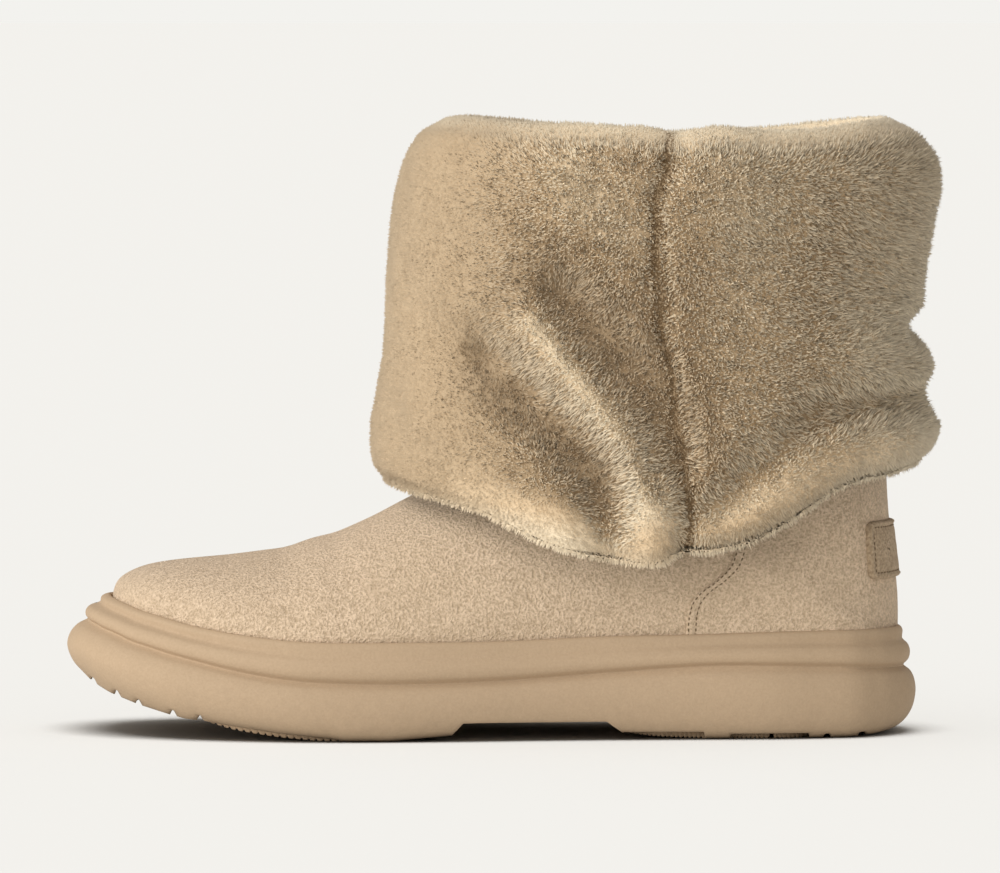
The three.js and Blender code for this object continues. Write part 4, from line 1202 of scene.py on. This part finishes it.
def cuff_outside(turn, share):
    """Points on the cuff's outer surface, and the level way out from the leg there."""
    turn, share = np.broadcast_arrays(turn, share)
    angle = np.radians(turn)
    front, back = CUFF.read("share", "front", share), CUFF.read("share", "back", share)
    outer, inner = CUFF.read("share", "outer", share), CUFF.read("share", "inner", share)
    side = np.where(np.sin(angle) >= 0, outer, inner)
    squared = lambda v: np.sign(v) * np.abs(v) ** (2 / CUFF_SQUARE)
    hem, top = CUFF_EDGES.read("turn", "hem", turn), CUFF_EDGES.read("turn", "top", turn)
    z = hem + (top - hem) * share
    x = (front + back) / 2 + (front - back) / 2 * squared(np.cos(angle))
    y = side * squared(np.sin(angle))
    away = unit(np.stack([np.cos(angle) / (front - back), np.sin(angle) / (2 * side), 0 * z], -1))
    drawn = folded(turn, z) * np.minimum(1, (1 - share) * 12)
    p = np.stack([x, y, z], -1)
    slack = 0.9 * noise(p, 26, 3) + 0.45 * noise(p, 11, 4)
    return p + away * (slack - drawn)[..., None], away


def to_shaft(p, away):
    """How far inside a point the shaft's skin lies."""
    where, _ = hit_skin(p + away * 60, -away)
    return 40.0 if where is None else float(np.linalg.norm(where - p) * np.sign((p - where) @ away))


def behind_hem(points, ways):
    """The cuff's inner side above its hem, held clear of the shaft."""
    thick = CUFF_THICK * (0.85 - 0.1 * np.arange(len(points)))
    return [p - a * min(t, to_shaft(p, a) - CUFF_GAP) for p, a, t in zip(points, ways, thick)]


def rolled_top(rim, a):
    """The cuff's rolled top from its rim over into the collar, and down the shaft's lining."""
    at_collar = np.array([rim[0], rim[1], COLLAR_Z])
    lining = at_collar - a * (to_shaft(at_collar - (0, 0, 0.5), a) + WALL)
    crest = lining + (rim - lining) * 0.6
    crest[2] = rim[2] + 0.4
    over = lining + a * 4
    over[2] = rim[2] - 3
    bend, turned_in = lining.copy(), lining.copy()
    bend[2] = COLLAR_Z + 7
    turned_in[2] = COLLAR_Z - 1
    rows = [crest, over, bend, turned_in]
    for drop, clear in ((12.0, 1.3), (24.0, 1.3), (38.0, -1.6)):
        p = at_collar - (0, 0, drop)
        rows.append(p - a * (to_shaft(p, a) + WALL + clear))
    return rows


def build_envelope():
    """The surface that the tips of the fur reach, as a grid: round the leg, and from behind the hem
    over the outside and the rolled top down into the shaft."""
    turns = np.arange(CUFF_TURNS) * 360 / CUFF_TURNS
    for start, end in SEAM_TURNS:
        turns = turns[(turns < start) | (turns > end)]
        turns = np.sort(np.concatenate([turns, np.arange(start, end, SEAM_STEP)]))
    outside, away = cuff_outside(turns[:, None], np.array(OUTSIDE_SHARES)[None])
    behind, behind_away = cuff_outside(turns[:, None], np.array(INSIDE_SHARES)[None])
    grid = [
        [*behind_hem(behind[k], behind_away[k]), *outside[k], *rolled_top(outside[k, -1], away[k, -1])]
        for k in range(len(turns))
    ]
    return turns, refine(np.array(grid).swapaxes(0, 1), ROWS_BETWEEN).swapaxes(0, 1)


TURNS, ENVELOPE = build_envelope()
ENVELOPE_OUT = grid_normals(ENVELOPE, wrap=True)
HEM_COLUMN = len(INSIDE_SHARES) * ROWS_BETWEEN
TOP_COLUMN = HEM_COLUMN + (len(OUTSIDE_SHARES) - 1) * ROWS_BETWEEN
if ENVELOPE_OUT[np.argmin(np.abs(TURNS - 90)), (HEM_COLUMN + TOP_COLUMN) // 2, 1] < 0:
    ENVELOPE_OUT = -ENVELOPE_OUT


def painted(areas, start, turn, z):
    """A value from -1 to 1 at a turn and a height, from a start value and soft areas round paths."""
    value = np.full(np.shape(turn), float(start))
    for strength, wide, path in areas:
        near = bell(distance_to(path, turn, z, TURN_MM), wide)
        if path[0][0] < 20:
            near = near + bell(distance_to(path, turn - 360, z, TURN_MM), wide)
        value += strength * near
    return np.clip(value, -1, 1)


def envelope_shade():
    """How far the fur has parted, with painted shade over its folds, and the painted light and shade on its
    wool, over the whole envelope. Behind the hem the fur is closed and given painted light.
    """
    column = np.arange(ENVELOPE.shape[1])[None]
    turn = np.broadcast_to(TURNS[:, None], ENVELOPE.shape[:2])
    inner = smoothstep(column, TOP_COLUMN - 9, TOP_COLUMN)
    behind = smoothstep(HEM_COLUMN - column, -2, 5)
    shade = painted(SHADES, 0.12, turn, ENVELOPE[..., 2]) * (1 - inner) - 0.45 * inner
    tone = painted(PAINTED_LIGHT_AND_SHADE, 0.0, turn, ENVELOPE[..., 2]) * (1 - inner) * (1 - behind)
    # behind the hem the fur is closed, and painted light is set on its wool
    return shade * (1 - behind) - 0.5 * behind, tone - 0.4 * behind


SHADE, PAINTED_LIGHT_AND_SHADE_GRID = envelope_shade()
FROM_FRONT = np.minimum(TURNS, 360 - TURNS)[:, None]
# How far the fur has opened to show its depth.
OPEN = smoothstep(SHADE, -0.45, 0.3) * smoothstep(FROM_FRONT, 30, 72)
# Painted shade: how far the wool's colour goes to its shade colour, in the folds, where the fur is closed and
# on the front, which faces the key light; below nothing, how much painted light makes it paler.
PAINTED_SHADE_GRID = 0.06 + 0.66 * np.maximum(SHADE, 0) + 0.45 * (1 - OPEN) + PAINTED_LIGHT_AND_SHADE_GRID
# painted shade on the front turns, which face the key light
PAINTED_SHADE_GRID += 0.47 * smoothstep(FROM_FRONT, 75, 40)


def pile_depth():
    """The length of the wool under each point of the envelope."""
    column = np.arange(ENVELOPE.shape[1])
    at = (0, HEM_COLUMN - 6, HEM_COLUMN + 6, TOP_COLUMN - 4, TOP_COLUMN + 10, column[-1])
    return np.interp(column, at, (0.5, 0.7, 1.0, 1.0, 0.9, 0.7))[None] * (1.8 + 1.9 * OPEN)


PILE = pile_depth()
# 0 on the cuff's outside, going to 1 on its rolled top and inside the collar, where the wool is given painted
# light.
TOPNESS = smoothstep(np.arange(ENVELOPE.shape[1]), TOP_COLUMN - 9, TOP_COLUMN)[None] * np.ones_like(PILE)


def scattering(normals, turn, column):
    """Normals for light that scatters in the wool: never far downward, and outward behind the hem."""
    level = normals.copy()
    level[..., 2] = np.maximum(level[..., 2], -0.18)
    outward = np.stack([np.cos(np.radians(turn)), np.sin(np.radians(turn)), 0 * turn], -1)
    behind = smoothstep(HEM_COLUMN - column, -4, 1)[..., None]
    return unit(level * (1 - behind) + outward * behind)


def scatter_light(mesh, normals):
    mesh.normals_split_custom_set_from_vertices(normals.reshape(-1, 3).tolist())


def build_cuff_skin(wool):
    """The matted wool that shows between the strands, a little above the skin that they grow from."""
    columns = np.arange(ENVELOPE.shape[1])
    ground = ENVELOPE - ENVELOPE_OUT * (PILE * (0.38 + 0.34 * OPEN))[..., None]
    ground = ground + ENVELOPE_OUT * ((0.1 + 0.25 * OPEN) * noise(ground, 2.6))[..., None]
    mesh = mesh_of("cuff_sheepskin", ground, quads(*ground.shape[:2], wrap=True))
    turn = np.broadcast_to(TURNS[:, None], OPEN.shape)
    parted = bell(from_seam(turn, ENVELOPE[..., 2]), 1.3)
    # painted light: the ground is paler where the envelope sets painted light, along the hem and on the
    # rolled top; its last channel carries painted shade
    along = 0.3 + 0.22 * (1 - OPEN) + 0.7 * np.clip(-PAINTED_SHADE_GRID, 0, 0.5) + 0.35 * bell(columns - HEM_COLUMN, 4.0)
    along = along + (0.85 - along) * TOPNESS
    strand_layer(mesh, along, np.clip(0.42 * OPEN + parted, 0, 1), np.clip(PAINTED_SHADE_GRID, 0, 1) * (1 - parted))
    scatter_light(mesh, scattering(ENVELOPE_OUT, turn, columns[None]))
    piece(mesh, wool, "sheepskin_fur", "cuff")


def scattered(count):
    """Random places on the envelope, as fractional rows and columns, spread evenly by area."""
    rows, cols = ENVELOPE.shape[:2]
    ahead = np.roll(ENVELOPE, -1, 0)
    area = np.linalg.norm(np.cross((ahead - ENVELOPE)[:, :-1], np.diff(ENVELOPE, axis=1)), axis=-1)
    column = np.arange(cols - 1)
    near = (0, HEM_COLUMN - 5, HEM_COLUMN, HEM_COLUMN + 8, TOP_COLUMN, TOP_COLUMN + 14, cols)
    density = np.interp(column, near, (0.2, 0.9, 1.35, 1.0, 1.0, 0.75, 0.4))
    weight = (area * density).ravel()
    cell = rng.choice(len(weight), count, p=weight / weight.sum())
    return cell // (cols - 1) + rng.random(count), cell % (cols - 1) + rng.random(count)


def at_place(values, row, column):
    """A grid's values at fractional rows, which wrap, and columns."""
    i, j = np.floor(row).astype(int), np.floor(column).astype(int)
    u, v = row - i, column - j
    if values.ndim == 3:
        u, v = u[:, None], v[:, None]
    rows, cols = values.shape[:2]
    i0, i1 = i % rows, (i + 1) % rows
    j1 = np.minimum(j + 1, cols - 1)
    near = values[i0, j] * (1 - u) + values[i1, j] * u
    far = values[i0, j1] * (1 - u) + values[i1, j1] * u
    return near * (1 - v) + far * v


def nearest_tuft(points, size, seed):
    """The centre of the jittered cell that each point belongs to, in three dimensions."""
    cell = np.floor(points / size)
    best = np.full(len(points), np.inf)
    centre = np.zeros_like(points)
    for shift in np.ndindex(3, 3, 3):
        corner = cell + np.array(shift) - 1
        a, b, c = corner.astype(int).T
        jitter = [LATTICE[(a + seed + k * 5) % 32, (b + k * 11) % 32, c % 32] for k in range(3)]
        candidate = (corner + 0.5 + 0.45 * np.stack(jitter, -1)) * size
        far = np.linalg.norm(points - candidate, axis=1)
        nearer = far < best
        best = np.where(nearer, far, best)
        centre[nearer] = candidate[nearer]
    return centre


def from_seam(turn, z):
    """The distance from the nearer side seam."""
    return np.minimum(*(distance_to(path, turn, z, TURN_MM) for path in (OUTER_SEAM, INNER_SEAM)))


def strand_layer(mesh, along, tone, painted_shade):
    """Stores each vertex's place along its strand, the strand's tone and the painted shade on it."""
    layer = mesh.color_attributes.new("strand", "FLOAT_COLOR", "POINT")
    values = np.ones(along.shape + (4,), np.float32)
    values[..., 0], values[..., 1], values[..., 2] = along, tone, painted_shade
    layer.data.foreach_set("color", values.ravel())


def turn_of(row):
    """The turn round the leg at a fractional row of the envelope."""
    return np.interp(row, np.arange(len(TURNS) + 1), [*TURNS, 360.0])


STRANDS = 228000
TUFT = 1.6  # the size of a tuft, whose strands lean together
STRAND_WIDE = 0.44  # the radius of a strand's three-sided root
THIRDS = (0.0, 2 * math.pi / 3, 4 * math.pi / 3)
# The pieces of fur, as the turns between which each one grows.
FUR_BANDS = (
    ("cuff_fur_front", 315, 50), ("cuff_fur_outer_front", 50, 92), ("cuff_fur_outer_back", 92, 150),
    ("cuff_fur_back", 150, 220), ("cuff_fur_inner_back", 220, 268), ("cuff_fur_inner_front", 268, 315),
)


def fur_places(row, column):
    """What the envelope says of places on it, where strands grow."""
    surface = at_place(ENVELOPE, row, column)
    turn = turn_of(row)
    outside = (column > HEM_COLUMN) & (column < TOP_COLUMN)
    seam = np.where(outside, from_seam(turn, surface[:, 2]), 99.0)
    return SimpleNamespace(
        count=len(surface),
        column=column,
        turn=turn,
        surface=surface,
        out=unit(at_place(ENVELOPE_OUT, row, column)),
        long=at_place(PILE, row, column),
        loose=at_place(OPEN, row, column),
        topness=at_place(TOPNESS, row, column),
        shade=np.maximum(at_place(SHADE, row, column), 0),
        painted_shade=at_place(PAINTED_SHADE_GRID, row, column),
        tuft=nearest_tuft(surface, TUFT, 3),
        parted=bell(seam, 0.55),
        dark_seam=bell(seam, 0.8),
        fringe=bell(column - HEM_COLUMN + 1, 3.5),
        # painted light at the back of the cuff, which the key light reaches less
        rear_painted_light=smoothstep(np.minimum(turn, 360 - turn), 95, 120),
    )


def combed(at):
    """How far strands lean round the leg and down it, more where the fur is loose."""
    round_leg = np.stack([-np.sin(np.radians(at.turn)), np.cos(np.radians(at.turn)), 0 * at.turn], -1)
    round_leg = unit(round_leg - at.out * np.sum(round_leg * at.out, 1, keepdims=True))
    upward = unit(np.cross(at.out, round_leg))
    upward *= np.sign(upward[:, 2:3] + 1e-6)
    around = 0.3 * noise(at.surface, 15, 5) + 0.5 * noise(at.surface, 4, 6) + 0.4 * noise(at.surface, 1.9, 16)
    down = 0.25 + 0.4 * noise(at.surface, 4, 7) + 0.4 * noise(at.surface, 1.9, 17)
    return (round_leg * around[:, None] - upward * down[:, None]) * (0.3 + 0.7 * at.loose)[:, None]


def strand_tips(at):
    """Where strands end: combed, drawn to their tufts, longer at the hem and short in the parting."""
    pull = at.tuft - at.surface
    pull -= at.out * np.sum(pull * at.out, 1, keepdims=True)
    tip = at.surface + combed(at) + pull * (0.1 + 0.3 * at.loose)[:, None]
    uneven = rng.normal(0, 1, at.count) * (0.22 + 0.14 * at.loose)
    height = 1.1 * at.fringe + 0.25 * (1 - at.loose) + uneven
    height += noise(at.surface, 2.2, 9) * (0.15 + 0.3 * at.loose)
    tip += at.out * (height * (1 - at.parted) - at.parted * 2.6)[:, None]
    return tip + rng.normal(0, 1, (at.count, 3)) * (0.12 + 0.2 * at.loose)[:, None]


def strand_mesh(name, at, root, tip, way):
    """Tapering strands with three sides, each from its root to its pointed tip."""
    first = unit(np.cross(way, rng.normal(0, 1, (at.count, 3))))
    second = np.cross(way, first)
    wide = STRAND_WIDE * rng.uniform(0.8, 1.2, (at.count, 1))
    corners = [root + (first * math.cos(a) + second * math.sin(a)) * wide for a in THIRDS]
    sides = np.arange(at.count)[:, None, None] * 4 + np.array([[0, 1, 3], [1, 2, 3], [2, 0, 3]])
    return mesh_of(name, np.stack([*corners, tip], 1), sides.reshape(-1, 3))


def colour_strands(mesh, at):
    """Pale tips over darker roots and dark along the seams, with painted shade in the folds, the closed fur
    and the front, and painted light on the hem's fringe, the rear, the top and wherever the envelope sets it.
    """
    # painted light: paler where the envelope sets painted light, and on the hem's fringe
    pale = 0.7 * np.clip(-at.painted_shade, 0, 0.5) + 0.22 * at.fringe
    # painted shade darkens the roots in the folds, and painted light lifts them at the rear
    root = 0.42 + 0.1 * (1 - at.loose) - 0.3 * at.shade + 0.1 * at.rear_painted_light + pale
    root += (0.85 - root) * at.topness
    tip = np.minimum(1, 1 - 0.4 * (1 - at.loose) * (1 - at.topness) + pale)
    own = 0.28 * rng.normal(0, 1, at.count) + 0.2 * noise(at.tuft, 2.0, 11)
    tone = np.clip(at.loose * own + at.dark_seam, 0, 1)
    # painted shade, taken off on the top and the hem's fringe, and none along the seams
    painted_shade = at.painted_shade + 0.1 * noise(at.surface, 13, 12) + 0.14 * noise(at.surface, 3.5, 13)
    painted_shade = np.clip(painted_shade - 0.4 * at.topness - at.fringe, 0, 1) * (1 - at.dark_seam)
    strand_layer(mesh, np.stack([root, root, root, tip], -1), tone[:, None], painted_shade[:, None])


def map_strands(mesh, at):
    """A small place on the map for each strand, laid out by turn and by height."""
    mapped = np.empty((at.count, 4, 2))
    mapped[..., 0] = (0.01 + 0.975 * at.turn / 360)[:, None] + np.array([0, 0.5, 1, 0.6]) * 0.002
    mapped[..., 1] = (0.01 + 0.97 * at.column / ENVELOPE.shape[1])[:, None] + np.array([0, 0.3, 0, 1]) * 0.005
    uv = mesh.uv_layers.new(name="OFBake")
    index = np.empty(len(mesh.loops), np.int32)
    mesh.loops.foreach_get("vertex_index", index)
    uv.data.foreach_set("uv", mapped.reshape(-1, 2)[index].astype(np.float32).ravel())


def grow_fur(name, row, column, wool):
    """Strands of wool at places on the envelope, which their tips reach."""
    at = fur_places(row, column)
    tip = strand_tips(at)
    root = at.surface - at.out * (at.long * 0.98)[:, None]
    way = unit(tip - root)
    mesh = strand_mesh(name, at, root, tip, way)
    colour_strands(mesh, at)
    map_strands(mesh, at)
    stray = (0.05 + 0.3 * at.loose)[:, None, None] * rng.normal(0, 1, (at.count, 1, 3))
    along = np.array([0.0, 0.0, 0.0, 0.35])[None, :, None] * way[:, None]
    scatter_light(mesh, unit(scattering(at.out, at.turn, at.column)[:, None] + along + stray))
    piece(mesh, wool, "sheepskin_fur")


def build_fur(wool):
    row, column = scattered(STRANDS)
    turn = turn_of(row)
    for name, start, end in FUR_BANDS:
        inside = (turn >= start) & (turn < end) if start < end else (turn >= start) | (turn < end)
        grow_fur(name, row[inside], column[inside], wool)


# ---- stage ----


SKY = {"colour": (1.0, 0.975, 0.935), "strength": 0.52, "backdrop": (0.896, 0.888, 0.855)}
PAPER = (0.479, 0.474, 0.459)
FLOOR_SIZE = 300.0
KEY = {"energy": 3.05, "angle": 60, "towards": (0.92, 0.74, 0.48), "colour": (1.0, 1.0, 0.99)}
FLOOR_LIGHT = {"energy": 4.4, "angle": 50, "towards": (0.1, 0.25, 1.0), "colour": (1.0, 1.0, 1.0)}
CAMERA = {"lens": 322, "sensor": 36, "place": (0.0016, 3.0, 0.24), "aim": (0.0016, 0, 0.099)}


def stand(name, data, towards, axis):
    """Puts a light or a camera in the scene with one of its axes turned to a direction."""
    obj = bpy.data.objects.new(name, data)
    obj.rotation_mode = "QUATERNION"
    obj.rotation_quaternion = Vector(towards).to_track_quat(axis, "Y")
    bpy.context.scene.collection.objects.link(obj)
    return obj


def sun(name, given, lit, casting):
    """A broad soft light that falls on one group of things, and that only another group blocks."""
    light = bpy.data.lights.new(name, "SUN")
    light.energy = given["energy"]
    light.angle = math.radians(given["angle"])
    light.color = given["colour"]
    lamp = stand(name, light, given["towards"], "Z")
    lamp.light_linking.receiver_collection = lit
    if casting:
        lamp.light_linking.blocker_collection = casting


def build_sky():
    """An even sky that lights the boot, and a paler backdrop where it is seen directly."""
    world = bpy.data.worlds.new("studio_sky")
    world.use_nodes = True
    tree = world.node_tree
    sky = tree.nodes["Background"]
    sky.inputs["Color"].default_value = (*SKY["colour"], 1)
    sky.inputs["Strength"].default_value = SKY["strength"]
    seen = tree.nodes.new("ShaderNodeBackground")
    seen.inputs["Color"].default_value = (*SKY["backdrop"], 1)
    either = tree.nodes.new("ShaderNodeMixShader")
    tree.links.new(tree.nodes.new("ShaderNodeLightPath").outputs["Is Camera Ray"], either.inputs[0])
    tree.links.new(sky.outputs[0], either.inputs[1])
    tree.links.new(seen.outputs[0], either.inputs[2])
    tree.links.new(either.outputs[0], tree.nodes["World Output"].inputs["Surface"])
    bpy.context.scene.world = world


def build_floor():
    """A wide sheet of plain pale paper."""
    far = FLOOR_SIZE
    mesh = bpy.data.meshes.new("studio_floor")
    mesh.from_pydata([(-far, -far, 0), (far, -far, 0), (far, far, 0), (-far, far, 0)], [], [(0, 1, 2, 3)])
    floor = bpy.data.objects.new("studio_floor", mesh)
    bpy.context.scene.collection.objects.link(floor)
    plain = bpy.data.materials.new("studio_paper")
    plain.use_nodes = True
    shader = plain.node_tree.nodes["Principled BSDF"]
    shader.inputs["Base Color"].default_value = (*PAPER, 1)
    shader.inputs["Roughness"].default_value = 1.0
    shader.inputs["Specular IOR Level"].default_value = 0.0
    mesh.materials.append(plain)
    floor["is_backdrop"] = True
    return floor


def build_lights(floor):
    """A soft key from above the toe on the boot, and a light for the floor that only the sole blocks."""
    boot, sole, ground = (bpy.data.collections.new(n) for n in ("lit_boot", "lit_sole", "lit_floor"))
    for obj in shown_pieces():
        boot.objects.link(obj)
        if obj.name.startswith(("foam_sole", "forefoot_pad", "heel_pad")):
            sole.objects.link(obj)
    ground.objects.link(floor)
    sun("soft_key", KEY, boot, None)
    sun("floor_light", FLOOR_LIGHT, ground, sole)


def build_camera():
    camera = bpy.data.cameras.new("camera")
    camera.lens = CAMERA["lens"]
    camera.sensor_width = CAMERA["sensor"]
    camera.clip_end = 1000
    placed = stand("camera", camera, Vector(CAMERA["aim"]) - Vector(CAMERA["place"]), "-Z")
    placed.location = CAMERA["place"]
    bpy.context.scene.camera = placed
    bpy.context.scene.view_settings.view_transform = "Standard"


# ---- the boot ----

WOOL_COLOURS = {
    "Root": (0.14, 0.085, 0.038),
    "Middle": (0.72, 0.545, 0.35),
    "Tip": (0.97, 0.84, 0.63),
    # the colour that painted shade takes the wool to
    "Shade": (0.415, 0.305, 0.19),
}
SUEDE_FINISH = suede_finish(
    "sand_suede", (0.44, 0.32, 0.205), (0.79, 0.605, 0.43), (0.56, 0.42, 0.275), (0.80, 0.63, 0.46)
)
LABEL_FINISH = suede_finish(
    "label_suede", (0.30, 0.21, 0.125), (0.56, 0.415, 0.27), (0.40, 0.29, 0.18), (0.66, 0.51, 0.36)
)
WOOL = wool_finish("cuff_wool")
MATTED_WOOL = wool_finish("cuff_wool_matted", matted=True)
FLEECE = pile_finish("fleece_pile", (0.42, 0.31, 0.20), (0.72, 0.58, 0.41))
THREAD = thread_finish()

build_upper(SUEDE_FINISH, FLEECE)
seam_rows = build_quarter(SUEDE_FINISH)
build_stitches("quarter_stitches", THREAD, "suede", seam_rows)
build_label(LABEL_FINISH, THREAD)
build_sole(foam_finish())
RUBBER = rubber_finish()
for pad_name in PADS:
    build_pad(pad_name, RUBBER)
build_insole(FLEECE)
build_cuff_skin(MATTED_WOOL)
build_fur(WOOL)
build_sky()
build_lights(build_floor())
build_camera()
